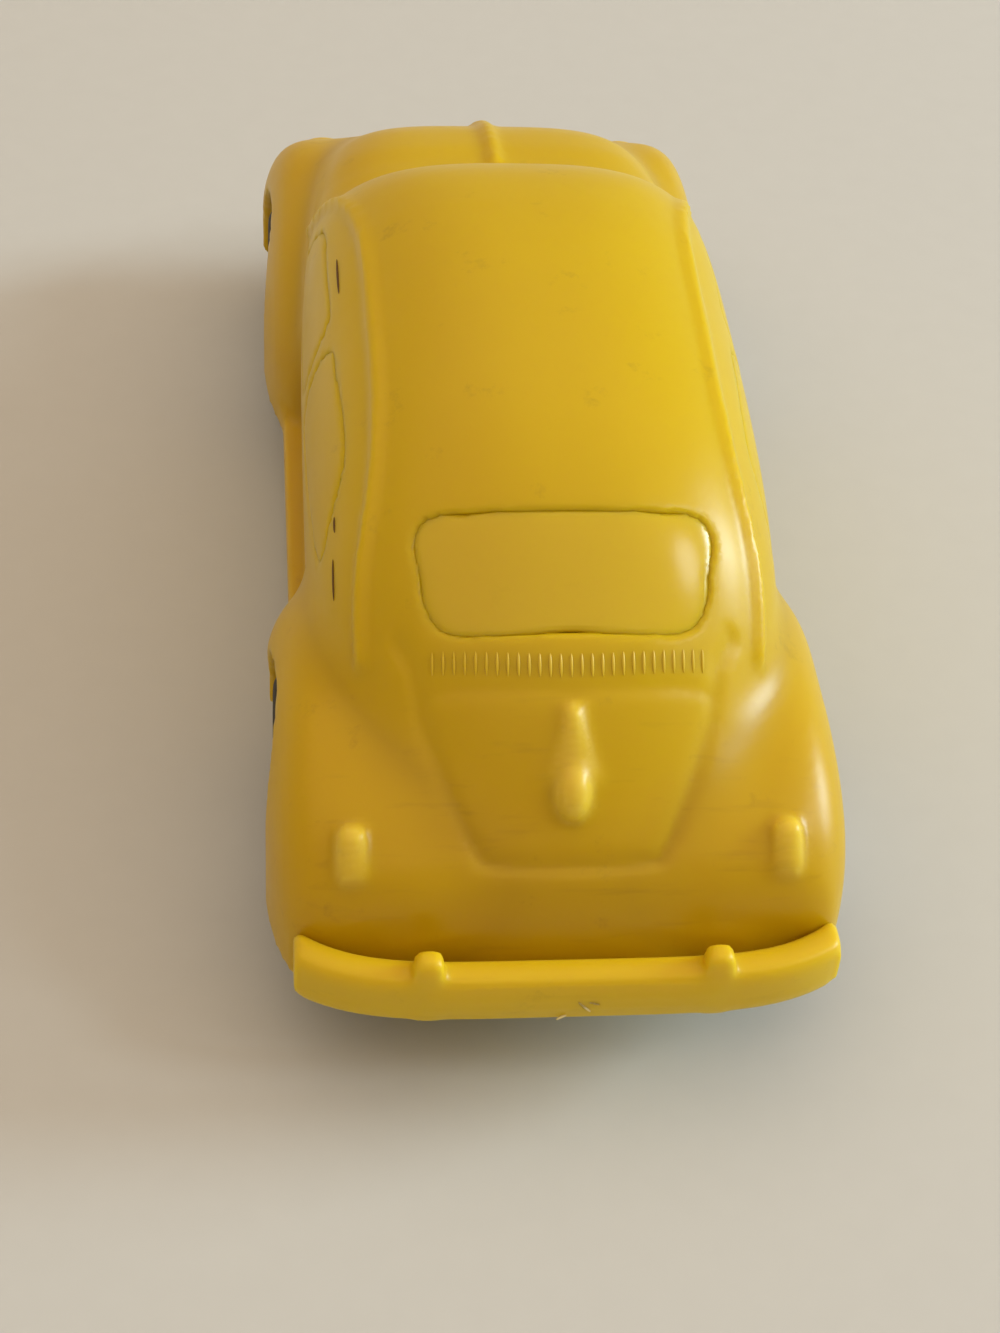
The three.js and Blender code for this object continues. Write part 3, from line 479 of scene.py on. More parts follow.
def sloping_window_field(g, pane):
    """A window cut square to a sloping pane."""
    (fy, fz), (hy, hz) = pane["foot"], pane["head"]
    length = math.hypot(hy - fy, hz - fz)
    uy, uz = (hy - fy) / length, (hz - fz) / length
    y, z = g.y - (fy + hy) / 2, g.z - (fz + hz) / 2
    up = y * uy + z * uz
    out = (y * -uz + z * uy) * math.copysign(1, uy)
    (x0, v0), (x1, v1) = pane["corners"]
    made = outline_field(g.x, up, [(-x0, v0), (x0, v0), (x1, v1), (-x1, v1)], WINDOW_CORNER)
    return np.maximum(made, np.maximum(WINDOW_DEPTH[0] - out, out - WINDOW_DEPTH[1]))


def side_window_field(g, corners):
    """A window cut straight in from the side."""
    return np.maximum(outline_field(g.y, g.z, corners, WINDOW_CORNER), SIDE_WINDOW_START - g.x)


def end_windows_field(g):
    """The rear window and the windshield."""
    return np.minimum(sloping_window_field(g, REAR_WINDOW), sloping_window_field(g, WINDSHIELD))


def side_windows_field(g):
    """The door and quarter windows."""
    return np.minimum(side_window_field(g, DOOR_WINDOW), side_window_field(g, QUARTER_WINDOW))


def away_from(g, points, stretch):
    """Distance from above to a row of (half-width, y) points, with y stretched as on a slope."""
    best = np.full(g.x.shape, FAR)
    for (x0, y0), (x1, y1) in zip(points, points[1:]):
        ax, ay = g.x - x0, (g.y - y0) * stretch
        bx, by = x1 - x0, (y1 - y0) * stretch
        t = np.clip((ax * bx + ay * by) / (bx * bx + by * by), 0, 1)
        best = np.minimum(best, np.hypot(ax - t * bx, ay - t * by))
    return best


def detail_fields(g):
    """The lamps and lid handle, which get painted glow and highlight, and the raised lines in the colour of
    the body.
    """
    tail_y = REAR_AXLE_Y - TAIL_LAMP["behind_axle"]
    tail = (TAIL_LAMP["x"], tail_y, crest_at(REAR_FENDER, tail_y))
    head_y = FRONT_AXLE_Y + HEADLAMP["ahead_of_axle"]
    head = (HEADLAMP["x"], head_y, crest_at(FRONT_FENDER, head_y) - HEADLAMP["sunk"])
    on_lid = (0, LID_HANDLE["y"], float(profile_at(LID_HANDLE["y"])))
    on_hood = (0, HOOD_HANDLE["y"], float(profile_at(HOOD_HANDLE["y"])))
    painted_light = [
        knob_field(g, tail, TAIL_LAMP["size"], TAIL_LAMP["tip"], TAIL_LAMP["power"]),
        knob_field(g, head, HEADLAMP["size"], HEADLAMP["tip"]),
        knob_field(g, on_lid, LID_HANDLE["size"], LID_HANDLE["tip"]),
        plate_lamp_field(g),
    ]
    same = [
        knob_field(g, on_hood, HOOD_HANDLE["size"], HOOD_HANDLE["tip"]),
        ridge_field(g, np.zeros_like, profile_at, HOOD_RIB["ends"], HOOD_RIB["radius"]),
        ridge_field(g, rail_x, rail_z, RAIL["ends"], RAIL["radius"]),
    ]
    return painted_light, same


def body_field(g):
    """The hollow body, how deep each point lies in a fillet, for painted shade, and how much painted glow
    and highlight it gets on a raised detail.
    """
    hull = hull_field(g)
    low = np.minimum(fender_field(g, REAR_FENDER), fender_field(g, FRONT_FENDER))
    aprons = np.minimum(apron_field(g, REAR_APRON), apron_field(g, FRONT_APRON))
    low = smooth_min(low, aprons, APRON_FILLET)
    board_y = (REAR_AXLE_Y + FRONT_AXLE_Y) / 2
    board_half = (FRONT_AXLE_Y - REAR_AXLE_Y) / 2 - ARCH_RADIUS
    board = np.maximum(g.x - BOARD_HALF_WIDTH, np.abs(g.y - board_y) - board_half)
    board = smooth_max(board, g.z - SILL_HEIGHT - BOARD_HEIGHT, BOARD_ROUND)
    masses = smooth_min(smooth_min(hull, low, FENDER_FILLET), board, BOARD_FILLET)
    masses = smooth_max(masses, np.abs(g.y) - BODY_REACH, REACH_ROUND)
    fillet = np.minimum(np.minimum(hull, low), board) - masses
    painted_light_details, other_details = detail_fields(g)
    made = masses
    for detail in painted_light_details + other_details:
        made = smooth_min(made, detail, DETAIL_FILLET)
    raised = np.minimum.reduce(painted_light_details)
    painted_light = np.clip(1 - raised / PAINTED_LIGHT_FADE, 0, 1) * np.clip(masses / PAINTED_LIGHT_RISE, 0, 1)
    for points, depth in ((LID_LINE, LID_DEPTH), (LOUVRE_LINE, LOUVRE_LINE_DEPTH)):
        made = made + depth * np.exp(-(away_from(g, points, TAIL_STRETCH) / LINE_WIDTH) ** 2)
    made = np.maximum(made, -(masses + WALL))
    posts = np.minimum(*[np.hypot(g.x, g.y - y) for y in SCREW_PLACES])
    made = np.minimum(made, np.maximum(posts - POST_RADIUS, masses + WALL / 2))
    arches = np.minimum(*[np.hypot(g.y - y, g.z - AXLE_HEIGHT) for y in (REAR_AXLE_Y, FRONT_AXLE_Y)])
    made = smooth_max(made, ARCH_RADIUS - arches, EDGE_ROUND)
    made = smooth_max(made, SILL_HEIGHT - g.z, EDGE_ROUND)
    made = smooth_max(made, -np.minimum(end_windows_field(g), side_windows_field(g)), EDGE_ROUND)
    holes = np.where(g.z < SCREW_HOLE_TOP, SCREW_HOLE - posts, -FAR)
    return np.maximum(made, holes), fillet, painted_light


def crack_width(g):
    """How far the rear pane stands back from its opening, at its upper corners and below its middle."""
    upper = UPPER_CRACK["opening"] * np.exp(-((g.x - UPPER_CRACK["x"]) / UPPER_CRACK["width"]) ** 2)
    lower = LOWER_CRACK["opening"] * np.exp(-((g.x - LOWER_CRACK["x"]) / LOWER_CRACK["width"]) ** 2)
    open_here = upper * (g.z > UPPER_CRACK["above"]) + lower * (g.z < LOWER_CRACK["below"])
    return open_here * (g.y < 0)


def insert_field(g):
    """The window moulding: panes in the openings on a thin hollow skin."""
    hull = hull_field(g)
    end_edge = end_windows_field(g) - END_PANE["lap"] + crack_width(g)
    ends = smooth_max(hull + END_PANE["sunk"], end_edge, END_PANE["round"])
    side_edge = side_windows_field(g) - SIDE_PANE["lap"]
    sides = smooth_max(hull + SIDE_PANE["sunk"], side_edge, SIDE_PANE["round"])
    made = np.minimum(np.minimum(ends, sides), hull + INSERT_INSET)
    made = np.maximum(made, -(hull + INSERT_INSET + INSERT_WALL))
    made = np.maximum(made, INSERT_FOOT - g.z)
    return np.maximum(made, np.maximum(INSERT_ENDS[0] - g.y, g.y - INSERT_ENDS[1]))


def bumper_field(g):
    """Both bumpers with their overriders. Their ends wrap round the fenders."""
    place = np.minimum(g.x / BUMPER_REACH, 1)
    face = BUMPER_FACE - BUMPER_WRAP * place ** BUMPER_BOW
    lean = np.sqrt(1 + (BUMPER_BOW * BUMPER_WRAP * place ** (BUMPER_BOW - 1) / BUMPER_REACH) ** 2)
    off = (np.abs(g.y) - face) / lean
    thick = np.where(off > 0, off / BUMPER_OUTER_HALF, -off / BUMPER_INNER_HALF)
    tall = np.abs(g.z - BUMPER_MIDDLE) / BUMPER_HALF_HEIGHT
    powers = BUMPER_POWERS
    bar = g.distance((thick ** powers["thick"] + tall ** powers["tall"]) ** (1 / powers["whole"]) - 1)
    bar = smooth_max(bar, g.x - BUMPER_REACH - BUMPER_END["past"], BUMPER_END["round"])
    guard_face = BUMPER_FACE - BUMPER_WRAP * (OVERRIDER["x"] / BUMPER_REACH) ** BUMPER_BOW
    for end in (1, -1):
        centre = (OVERRIDER["x"], end * guard_face, OVERRIDER["z"])
        guard = knob_field(g, centre, OVERRIDER["size"], 0, OVERRIDER["power"])
        bar = smooth_min(bar, guard, OVERRIDER["fillet"])
    return bar


def arm_field(g):
    """The sloping arms that join the bumpers to the plate."""
    arm = np.maximum(np.abs(np.abs(g.y) - ARM["y"]) - ARM["half_length"], g.x - ARM["half_width"])
    arm = np.maximum(arm, np.abs(g.z - ARM["z"]) - ARM["half_height"])
    slope = np.abs(g.y) - ARM_SLOPE["y"] - (g.z - ARM_SLOPE["z"]) * ARM_SLOPE["lean"]
    arm = np.maximum(arm, slope / ARM_SLOPE["steepness"])
    return np.maximum(arm, np.where(g.z > PLATE_TOP, ARM["back"] - np.abs(g.y), -FAR))


def base_field(g):
    """The base plate with its bearing lugs, both bumpers and their arms."""
    edge = np.interp(g.ys, *zip(*PLATE_EDGE))[None, :, None]
    plate = np.maximum(g.x - edge, np.abs(g.y) - PLATE_END)
    plate = smooth_max(plate, np.maximum(PLATE_BOTTOM - g.z, g.z - PLATE_TOP), PLATE_ROUND)
    made = smooth_min(np.minimum(plate, arm_field(g)), bumper_field(g), PLATE_ROUND)
    for y, outside in ((REAR_AXLE_Y, REAR_LUG_OUTSIDE), (FRONT_AXLE_Y, FRONT_LUG_OUTSIDE)):
        from_axle = np.hypot(g.y - y, g.z - AXLE_HEIGHT)
        round_top = np.where(g.z > AXLE_HEIGHT, from_axle, np.abs(g.y - y)) - LUG_RADIUS
        lug = np.maximum(round_top, np.abs(g.x - outside + LUG_HALF_THICKNESS) - LUG_HALF_THICKNESS)
        made = np.minimum(made, np.maximum(lug, LUG_FOOT - g.z))
        made = np.maximum(made, LUG_BORE - from_axle)
    holes = np.minimum(*[np.hypot(g.x, g.y - y) for y in SCREW_PLACES])
    return np.maximum(made, SCREW_HOLE - holes)


def mesh_object(name, points, faces, material):
    """A smooth-shaded object from points in millimetres."""
    low, high = np.array(cad_low), np.array(cad_high)
    mesh = bpy.data.meshes.new(name)
    mesh.from_pydata(np.clip(points * MM, low, high).tolist(), [], [list(face) for face in faces])
    mesh.shade_smooth()
    mesh.materials.append(material)
    made = bpy.data.objects.new(name, mesh)
    bpy.context.scene.collection.objects.link(made)
    return made


def stand_for(piece, body, node):
    """Let a piece ride on a body in place of a CAD node."""
    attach(piece, body)
    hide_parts(node)


def blob(middle, axes, sizes, rings=BLOB_RINGS, sides=BLOB_SIDES):
    """Points and faces of a small rounded blob with half-sizes along its own across, along and out axes."""
    across, along, out = axes
    points, faces = [], []
    for i in range(rings):
        lat = math.pi * (i / (rings - 1) - 0.5)
        reach = max(math.cos(lat), 0.02)
        for j in range(sides):
            lon = 2 * math.pi * j / sides
            points.append(
                middle + along * sizes[1] * math.sin(lat)
                + across * sizes[0] * reach * math.cos(lon) + out * sizes[2] * reach * math.sin(lon)
            )
    for i in range(rings - 1):
        for j in range(sides):
            a, b = i * sides + j, i * sides + (j + 1) % sides
            faces.append((a + sides, b + sides, b, a))
    faces.append(tuple(range(sides)))
    faces.append(tuple((rings - 1) * sides + j for j in reversed(range(sides))))
    return points, faces


def bead(place, sizes, step=0.1):
    """A blob that lies along the main body at (x, y)."""
    x, y = place
    along = np.array([0, 2 * step, surface_height(x, y + step) - surface_height(x, y - step)])
    across = np.array([2 * step, 0, surface_height(x + step, y) - surface_height(x - step, y)])
    along /= np.linalg.norm(along)
    across /= np.linalg.norm(across)
    middle = np.array([x, y, surface_height(x, y)])
    return blob(middle, (across, along, np.cross(across, along)), sizes)


def beads():
    """The louvre ribs and the dark slits of painted shade along the left roof edge, each with its finish
    number.
    """
    rows = []
    for n in range(LOUVRE_COUNT):
        x = LOUVRE_SPAN * (2 * n / (LOUVRE_COUNT - 1) - 1)
        y = LOUVRE_MIDDLE + LOUVRE_BOW * (x / LOUVRE_SPAN) ** 2
        rows.append((RIB_FINISH, bead((x, y), LOUVRE_SIZE)))
    for x, y, length in SLITS:
        rows.append((SLIT_FINISH, bead((x, y), (SLIT_HALF_WIDTH, length / 2, SLIT_RISE))))
    return rows


def rib_painted_highlight():
    """How much painted highlight each point of the louvre ribs gets."""
    along = np.repeat(np.linspace(0, 1, BLOB_RINGS), BLOB_SIDES)
    spots = np.linspace(-1, 1, LOUVRE_COUNT)
    highlight = np.clip((spots - RIB_HIGHLIGHT_FROM) / RIB_HIGHLIGHT_OVER, RIB_HIGHLIGHT_LEAST, 1)
    return np.outer(highlight, along).ravel()


def scratches():
    """Pale slivers of flash on the rear bumper's face, each with its finish number."""
    rows = []
    for x, z, length, lean in SCRATCHES:
        turn = math.radians(lean)
        along = np.array([math.cos(turn), 0, math.sin(turn)])
        across = np.array([-math.sin(turn), 0, math.cos(turn)])
        axes = (across, along, np.cross(across, along))
        sizes = (SCRATCH_HALF_WIDTH, length / 2, SCRATCH_RISE)
        rows.append((SCRATCH_FINISH, blob(np.array([x, SCRATCH_Y, z]), axes, sizes)))
    return rows


def with_blobs(points, faces, rows):
    """Points, faces and finish numbers of a surface with blobs added to it."""
    points, faces = list(points), faces.tolist()
    finishes = [0] * len(faces)
    for finish, (more, sides) in rows:
        faces += [tuple(len(points) + n for n in side) for side in sides]
        finishes += [finish] * len(sides)
        points += more
    return np.array(points), faces, finishes


def set_finishes(piece, materials, finishes):
    """More materials for a piece, and the number of each face's material."""
    for material in materials:
        piece.data.materials.append(material)
    piece.data.polygons.foreach_set("material_index", finishes)


def surface_height(x, y):
    """Height of the main body at (x, y)."""
    belt, power = belt_at(y), squareness_at(y)
    rise = (1 - (abs(x) / half_width_at(y)) ** power) ** (1 / power)
    return float(belt + (profile_at(y) - belt) * rise)


def cut_corners(profile, rounds):
    """A profile with its corners cut, over and over, which keeps both its ends."""
    for _ in range(rounds):
        cut = [profile[0]]
        for (r0, x0), (r1, x1) in zip(profile, profile[1:]):
            cut.append((0.75 * r0 + 0.25 * r1, 0.75 * x0 + 0.25 * x1))
            cut.append((0.25 * r0 + 0.75 * r1, 0.25 * x0 + 0.75 * x1))
        cut.append(profile[-1])
        profile = cut
    return profile


def turned(name, profile, centre, side, material, closed, sides=72):
    """A body turned about X from (radius, distance out) pairs."""
    points, faces = [], []
    for radius, out in profile:
        for n in range(sides):
            turn = 2 * math.pi * n / sides
            points.append((
                centre[0] + side * out,
                centre[1] + radius * math.cos(turn),
                centre[2] + radius * math.sin(turn),
            ))
    rows = len(profile)
    for row in range(rows if closed else rows - 1):
        for n in range(sides):
            a, b = row * sides + n, row * sides + (n + 1) % sides
            c, d = (row + 1) % rows * sides + (n + 1) % sides, (row + 1) % rows * sides + n
            faces.append((a, b, c, d) if side > 0 else (d, c, b, a))
    if not closed:
        faces.append(tuple(range(sides))[::-side])
        faces.append(tuple((rows - 1) * sides + n for n in range(sides))[::side])
    return mesh_object(name, np.array(points), faces, material)


# Materials
# Lighter yellow painted as glow and highlight on the raised lamps, lid handle and rib tops
PAINTED_LIGHT_YELLOW = (0.72, 0.54, 0.06, 1)
# Brown for the dirt specks and streaks, also painted as shade in the creases
DIRT_AND_SHADE_BROWN = (0.2, 0.11, 0.012, 1)
# In metres: heights where the painted shade low down is full and where the lit colour is full, and where the
# streaks at the rear start and are full
SHADED_COLOUR_Z = 0.008
LIT_COLOUR_Z = 0.0185
STREAKS_FROM_Y = -0.021
STREAKS_FULL_Y = -0.025
STREAK_SCALE = (180.0, 1600.0, 1600.0)
CLOUD_SHARE = 0.35
FINE_BUMP_SHARE = 0.06
SCATTER_RADIUS = (0.8, 0.8, 0.08)
SCATTER_SCALE = 0.0014
PLASTIC_IOR = 1.38
# How much of a fillet's depth is painted as shade, and the most shade
CREASE_SHARE = 0.5
CREASE_MOST = 0.25
GLOSS_SPREAD = 0.06


def shader(name):
    """A new material, its shader node, and helpers that add a node and link one to the shader."""
    material = bpy.data.materials.new(name)
    material.use_nodes = True
    nodes, links = material.node_tree.nodes, material.node_tree.links

    def add(kind, inputs=None, **settings):
        node = nodes.new(kind)
        for key, value in settings.items():
            setattr(node, key, value)
        for key, value in (inputs or {}).items():
            if isinstance(value, bpy.types.NodeSocket):
                links.new(value, node.inputs[key])
            else:
                node.inputs[key].default_value = value
        return node

    surface = nodes["Principled BSDF"]

    def feed(socket, entry):
        links.new(socket, surface.inputs[entry])

    return material, surface, add, feed


def yellow_plastic(name, light, dark, roughness, grime, depth=0.8):
    """Translucent yellow plastic with painted shade lower down and in the creases, fine bumps, and dirt
    specks and streaks.
    """
    material, surface, add, feed = shader(name)
    place = add("ShaderNodeTexCoord").outputs["Object"]
    apart = add("ShaderNodeSeparateXYZ", {"Vector": place}).outputs

    def noise(scale, detail, where=place, rough=0.5):
        inputs = {"Vector": where, "Scale": scale, "Detail": detail, "Roughness": rough}
        return add("ShaderNodeTexNoise", inputs).outputs["Fac"]

    def ramp(value, low, high):
        inputs = {"Value": value, "From Min": low, "From Max": high}
        return add("ShaderNodeMapRange", inputs).outputs["Result"]

    def total(a, b):
        return add("ShaderNodeMath", {0: a, 1: b}, operation="ADD", use_clamp=True).outputs["Value"]

    def product(a, b):
        return add("ShaderNodeMath", {0: a, 1: b}, operation="MULTIPLY").outputs["Value"]

    def tinted(factor, a, b):
        return add("ShaderNodeMix", {"Factor": factor, "A": a, "B": b}, data_type="RGBA").outputs["Result"]

    # Painted shade: the colour grows darker lower down, mixed with random clouds of tone
    height = ramp(apart["Z"], SHADED_COLOUR_Z, LIT_COLOUR_Z)
    clouds = {"Factor": CLOUD_SHARE, "A": height, "B": noise(110.0, 3.0)}
    level = add("ShaderNodeMix", clouds).outputs["Result"]
    # Painted glow and highlight on the raised lamps, lid handle and rib tops
    painted_light = add("ShaderNodeAttribute", attribute_name="painted_light").outputs["Fac"]
    clean = tinted(painted_light, tinted(level, (*dark, 1), (*light, 1)), PAINTED_LIGHT_YELLOW)
    # Painted shade in the fillets, added to the dirt specks and the streaks at the rear
    crease_shade = add("ShaderNodeAttribute", attribute_name="crease_shade").outputs["Fac"]
    specks = product(ramp(noise(420.0, 6.0, rough=0.7), 0.62, 0.8), grime)
    drawn = add("ShaderNodeMapping", {"Vector": place, "Scale": STREAK_SCALE}).outputs["Vector"]
    rear = product(ramp(apart["Y"], STREAKS_FROM_Y, STREAKS_FULL_Y), grime)
    streaks = product(ramp(noise(1.0, 4.0, drawn), 0.6, 0.95), rear)
    dirt_and_shade = total(total(specks, crease_shade), streaks)
    feed(tinted(dirt_and_shade, clean, DIRT_AND_SHADE_BROWN), "Base Color")
    surface.inputs["Subsurface Weight"].default_value = depth
    surface.inputs["Subsurface Radius"].default_value = SCATTER_RADIUS
    surface.inputs["Subsurface Scale"].default_value = SCATTER_SCALE
    surface.inputs["IOR"].default_value = PLASTIC_IOR
    rough = add("ShaderNodeMapRange", {
        "Value": noise(260.0, 4.0), "To Min": roughness - 0.08, "To Max": roughness + 0.1,
    })
    feed(rough.outputs["Result"], "Roughness")
    fine = product(noise(1500.0, 2.0), FINE_BUMP_SHARE)
    relief = add("ShaderNodeMath", {0: fine, 1: noise(180.0, 2.0)}, operation="ADD")
    bump = add("ShaderNodeBump", {"Height": relief.outputs["Value"], "Strength": 0.25, "Distance": 0.0002})
    feed(bump.outputs["Normal"], "Normal")
    return material


def plain(name, colour, roughness, metallic=0.0, speck=0.1, relief=0.1):
    """A simple finish, mottled by the given share, with uneven gloss and fine bumps."""
    material, surface, add, feed = shader(name)
    place = add("ShaderNodeTexCoord").outputs["Object"]
    mottle = add("ShaderNodeTexNoise", {"Vector": place, "Scale": 600.0, "Detail": 4.0}).outputs["Fac"]
    mixed = add("ShaderNodeMix", {
        "Factor": mottle,
        "A": (*[c * (1 - speck) for c in colour], 1),
        "B": (*[min(1, c * (1 + speck)) for c in colour], 1),
    }, data_type="RGBA")
    feed(mixed.outputs["Result"], "Base Color")
    gloss = add("ShaderNodeMapRange", {
        "Value": mottle, "To Min": roughness - GLOSS_SPREAD, "To Max": roughness + GLOSS_SPREAD,
    })
    feed(gloss.outputs["Result"], "Roughness")
    bump = add("ShaderNodeBump", {"Height": mottle, "Strength": relief, "Distance": 0.0001})
    feed(bump.outputs["Normal"], "Normal")
    surface.inputs["Metallic"].default_value = metallic
    return material


body_plastic = yellow_plastic("body_plastic", (0.645, 0.47, 0.0015), (0.54, 0.33, 0.001), 0.34, 0.35)
rib_plastic = yellow_plastic("rib_plastic", (0.67, 0.49, 0.015), (0.6, 0.41, 0.012), 0.3, 0.1, depth=0.0)
window_plastic = yellow_plastic("window_plastic", (0.66, 0.485, 0.02), (0.62, 0.44, 0.015), 0.2, 0.1)
base_plastic = yellow_plastic("base_plastic", (0.7, 0.52, 0.012), (0.67, 0.47, 0.01), 0.36, 0.25)
# Dark brown painted as the shade inside the gaps of the slits
slit_painted_shade = plain("slit_painted_shade", (0.12, 0.055, 0.01), 0.7, speck=0.3)
scratch_pale = plain("scratch_pale", (0.84, 0.72, 0.34), 0.5)
axle_steel = plain("axle_steel", (0.5, 0.5, 0.51), 0.35, metallic=1.0)
screw_steel = plain("screw_steel", (0.42, 0.42, 0.43), 0.45, metallic=1.0, speck=0.2)
hub_plastic = plain("hub_plastic", (0.64, 0.6, 0.5), 0.4, speck=0.08)
tyre_rubber = plain("tyre_rubber", (0.022, 0.02, 0.018), 0.75, speck=0.5)

# Body
grid = Grid(
    reach=12.9,
    x_step=0.27,
    y_lines=spread((-30.4, -12, 0.225), (-12, 9, 0.37), (9, 30.4, 0.34)),
    z_lines=spread((3.5, 23.4, 0.265)),
)
field, fillet, painted_light = body_field(grid)
whole, xs = grid.mirrored(field)
points, faces, where = net(whole, xs, grid.ys, grid.zs)
creases = sampled(grid.mirrored(fillet)[0], where)
all_points, all_faces, finishes = with_blobs(points, faces, beads())
body = mesh_object("body", all_points, all_faces, body_plastic)
set_finishes(body, (rib_plastic, slit_painted_shade), finishes)
# Point attributes: painted shade in the fillets, and painted glow and highlight on the raised details and
# the rib tops
for name, values in (
    ("crease_shade", np.clip(creases * CREASE_SHARE, 0, CREASE_MOST)),
    ("painted_light", np.append(sampled(grid.mirrored(painted_light)[0], where), rib_painted_highlight())),
):
    layer = body.data.attributes.new(name, "FLOAT", "POINT")
    layer.data.foreach_set("value", np.append(values, np.zeros(len(all_points) - len(values))))
stand_for(body, "car", "body_shell")

# Window moulding
grid = Grid(
    reach=10.8,
    x_step=0.25,
    y_lines=spread((-22.3, -14, 0.25), (-14, 6, 0.36), (6, 13.8, 0.3)),
    z_lines=spread((12.9, 22.8, 0.25)),
)
whole, xs = grid.mirrored(insert_field(grid))
points, faces, _ = net(whole, xs, grid.ys, grid.zs)
insert = mesh_object("windows", points, faces.tolist(), window_plastic)
beside = np.abs(points[faces].mean(1)[:, 0]) > SIDE_PANE_FROM
set_finishes(insert, (body_plastic,), SIDE_PANE_FINISH * beside)
stand_for(insert, "car", "cabin_insert")

# Base plate with the bumpers
grid = Grid(
    reach=12.2,
    x_step=0.2,
    y_lines=spread(
        (-31.9, -28, 0.16), (-28, -20, 0.5), (-20, -15, 0.2), (-15, 17.6, 0.6), (17.6, 22.8, 0.2),
        (22.8, 28, 0.5), (28, 31.9, 0.16),
    ),
    z_lines=spread((2.4, 8.9, 0.17)),
)
whole, xs = grid.mirrored(base_field(grid))
points, faces, _ = net(whole, xs, grid.ys, grid.zs)
all_points, all_faces, finishes = with_blobs(points, faces, scratches())
base = mesh_object("base", all_points, all_faces, base_plastic)
set_finishes(base, (scratch_pale,), finishes)
stand_for(base, "car", "base_plate")

# Wheels
HALF_TYRE = 1.42
TYRE_BORE = 3.2
TYRE_SECTION = [(0, 0.9), (0.6, 1), (0.92, 0.78), (1, 0.45)]
HUB_RADIUS = 3.1
HUB_FACE = [(1, 0.75), (0.88, 0.85), (0.78, 0.55), (0.58, 0.6), (0.52, 0.8), (0.3, 0.95), (0, 1)]
HUB_BORE = 0.7
HUB_BORE_FLOOR = 0.6
HUB_BACK = -1.0
HUB_BOSS_RADIUS = 1.3
HUB_BOSS_END = -2.4
POLE_RADIUS = 0.02
AXLE_RADIUS = 0.6
AXLE_OVERHANG = 0.54
AXLE_FACETS = 32
WHEELS = (("rear", REAR_AXLE_Y, 21.2), ("front", FRONT_AXLE_Y, 20.6))
tyre_wall = AXLE_HEIGHT - TYRE_BORE
tyre_inner = [(TYRE_BORE + tyre_wall * up, -HALF_TYRE * out) for up, out in TYRE_SECTION]
tyre_profile = cut_corners(tyre_inner + [(r, -x) for r, x in reversed(tyre_inner)], 2)
hub_back = [
    (POLE_RADIUS, HUB_BORE_FLOOR), (HUB_BORE, HUB_BORE_FLOOR), (HUB_BORE, HUB_BOSS_END),
    (HUB_BOSS_RADIUS, HUB_BOSS_END), (HUB_BOSS_RADIUS, HUB_BACK), (HUB_RADIUS, HUB_BACK),
]
hub_front = [(max(HUB_RADIUS * up, POLE_RADIUS), HALF_TYRE * out) for up, out in HUB_FACE]
hub_profile = hub_back + cut_corners(hub_front, 2)
for end, y, track in WHEELS:
    body_name = end + "_wheelset"
    for hand, side in (("left", -1), ("right", 1)):
        centre = (side * track / 2, y, AXLE_HEIGHT)
        tyre = turned(f"tyre_{end}_{hand}_round", tyre_profile, centre, side, tyre_rubber, True)
        stand_for(tyre, body_name, f"tyre_{end}_{hand}")
        hub = turned(f"hub_{end}_{hand}_round", hub_profile, centre, side, hub_plastic, False)
        stand_for(hub, body_name, f"hub_{end}_{hand}")
    half = track / 2 + AXLE_OVERHANG
    pin = [(AXLE_RADIUS, -half), (AXLE_RADIUS, half)]
    axle = turned(f"{end}_axle_round", pin, (0, y, AXLE_HEIGHT), 1, axle_steel, False, AXLE_FACETS)
    stand_for(axle, body_name, f"{end}_axle")

# The screws keep their CAD solids
for name in ("rear_screw", "front_screw"):
    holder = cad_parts[name].material_slots[0]
    holder.link = "OBJECT"
    holder.material = screw_steel

# Floor, light and camera
FLOOR_RADIUS = 0.9
SWEEP_RADIUS = 0.6
SWEEP_STEPS = 16
SWEEP_SIDES = 96
sweep = [(0.001, 0), (FLOOR_RADIUS / 3, 0)]
for n in range(SWEEP_STEPS + 1):
    rise = math.pi / 2 * n / SWEEP_STEPS
    sweep.append((FLOOR_RADIUS + SWEEP_RADIUS * math.sin(rise), SWEEP_RADIUS * (1 - math.cos(rise))))
sweep.append((FLOOR_RADIUS + SWEEP_RADIUS, 2 * SWEEP_RADIUS))
floor_points, floor_faces = [], []
for radius, height in sweep:
    for n in range(SWEEP_SIDES):
        around = 2 * math.pi * n / SWEEP_SIDES
        floor_points.append((radius * math.cos(around), radius * math.sin(around), height))
for row in range(len(sweep) - 1):
    for n in range(SWEEP_SIDES):
        a, b = row * SWEEP_SIDES + n, row * SWEEP_SIDES + (n + 1) % SWEEP_SIDES
        floor_faces.append((a + SWEEP_SIDES, b + SWEEP_SIDES, b, a))
floor_faces.append(tuple(range(SWEEP_SIDES)))
floor_mesh = bpy.data.meshes.new("floor")
floor_mesh.from_pydata(floor_points, [], floor_faces)
floor_mesh.shade_smooth()
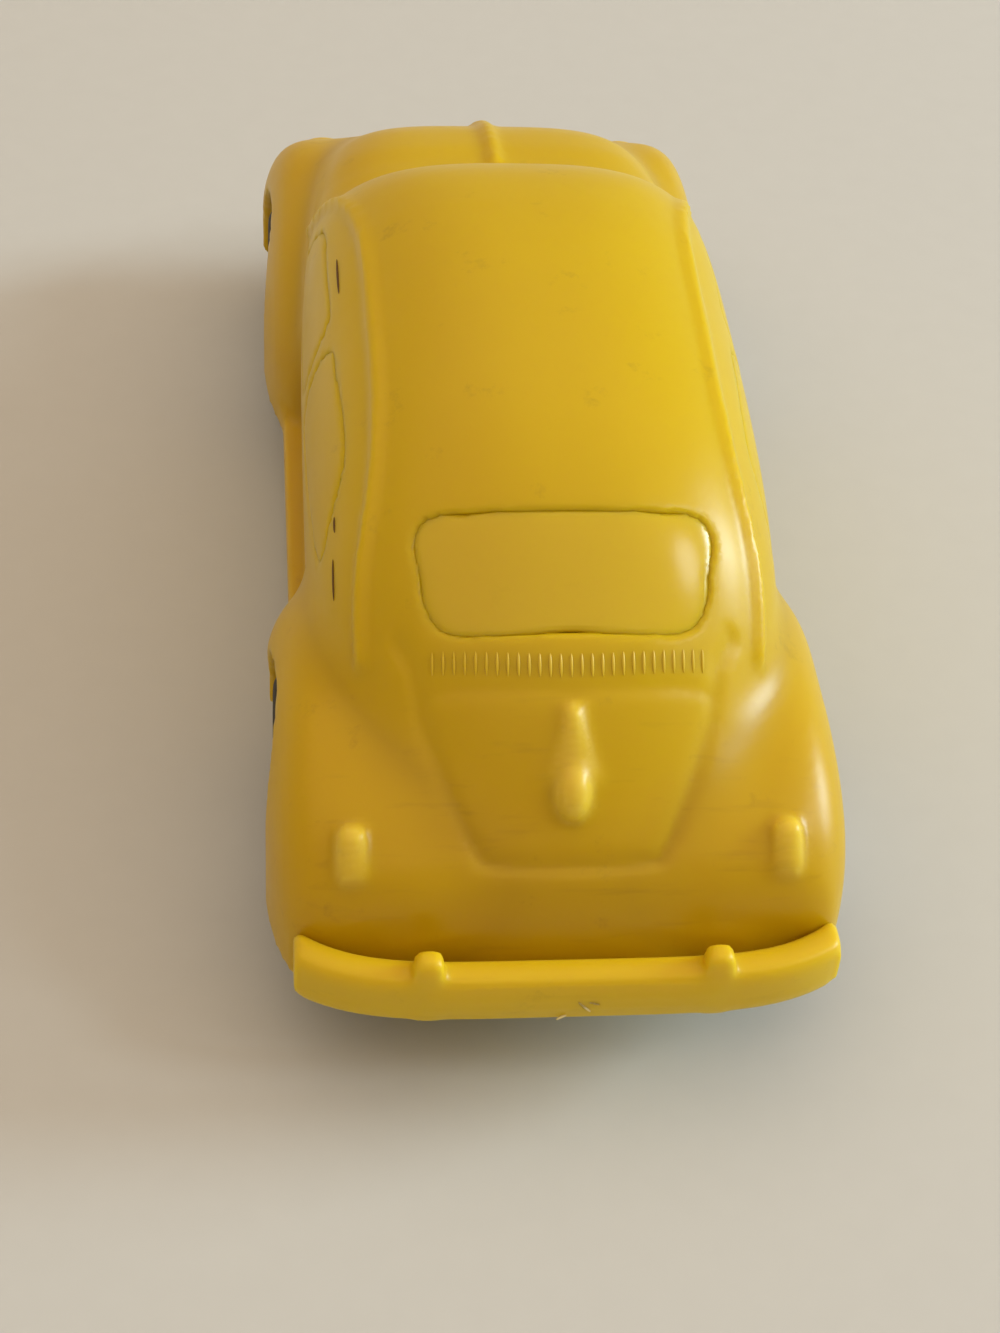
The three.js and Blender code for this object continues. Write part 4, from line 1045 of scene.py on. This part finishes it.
floor = bpy.data.objects.new("floor", floor_mesh)
bpy.context.scene.collection.objects.link(floor)
floor_mesh.materials.append(plain("floor_paper", (0.56, 0.59, 0.6), 0.8, speck=0.02, relief=0.02))


def area_light(name, place, target, size, power, colour):
    """A round lamp that points at a target."""
    data = bpy.data.lights.new(name, "AREA")
    data.shape = "DISK"
    data.size = size
    data.energy = power
    data.color = colour
    light = bpy.data.objects.new(name, data)
    light.location = place
    light.rotation_euler = (Vector(target) - Vector(place)).to_track_quat("-Z", "Y").to_euler()
    bpy.context.scene.collection.objects.link(light)


LIT_POINT = (0, 0, 0.01)
ROOM_COLOUR = (1, 0.76, 0.54, 1)
ROOM_STRENGTH = 1.1
area_light(
    "window_light", (0.555, 0.06, 0.2), LIT_POINT, size=0.2, power=2.5, colour=(0.78, 0.95, 1)
)
area_light(
    "side_light", (0.36, -0.12, 0.31), LIT_POINT, size=0.1, power=0.25, colour=(0.9, 1, 1)
)
world = bpy.data.worlds.new("room")
world.use_nodes = True
room_light = world.node_tree.nodes["Background"].inputs
room_light["Color"].default_value = ROOM_COLOUR
room_light["Strength"].default_value = ROOM_STRENGTH
bpy.context.scene.world = world

# Camera: the photo's height and focal length in pixels, the place in millimetres, and the turns in degrees
IMAGE_HEIGHT = 1333
FOCAL_PIXELS = 2400
SENSOR = 36
CAMERA_PLACE = (-13.08, -92.71, 82.60)
CAMERA_TURNS = (46.88, -3.658, -4.794)
CAMERA_NEAREST = 0.005
lens = bpy.data.cameras.new("camera")
lens.sensor_width = SENSOR
lens.lens = FOCAL_PIXELS / IMAGE_HEIGHT * SENSOR
lens.clip_start = CAMERA_NEAREST
camera = bpy.data.objects.new("camera", lens)
turned_by = Euler([math.radians(turn) for turn in CAMERA_TURNS]).to_matrix().to_4x4()
camera.matrix_world = Matrix.Translation(Vector(CAMERA_PLACE) * MM) @ turned_by
bpy.context.scene.collection.objects.link(camera)
bpy.context.scene.camera = camera
bpy.context.scene.view_settings.view_transform = "Standard"
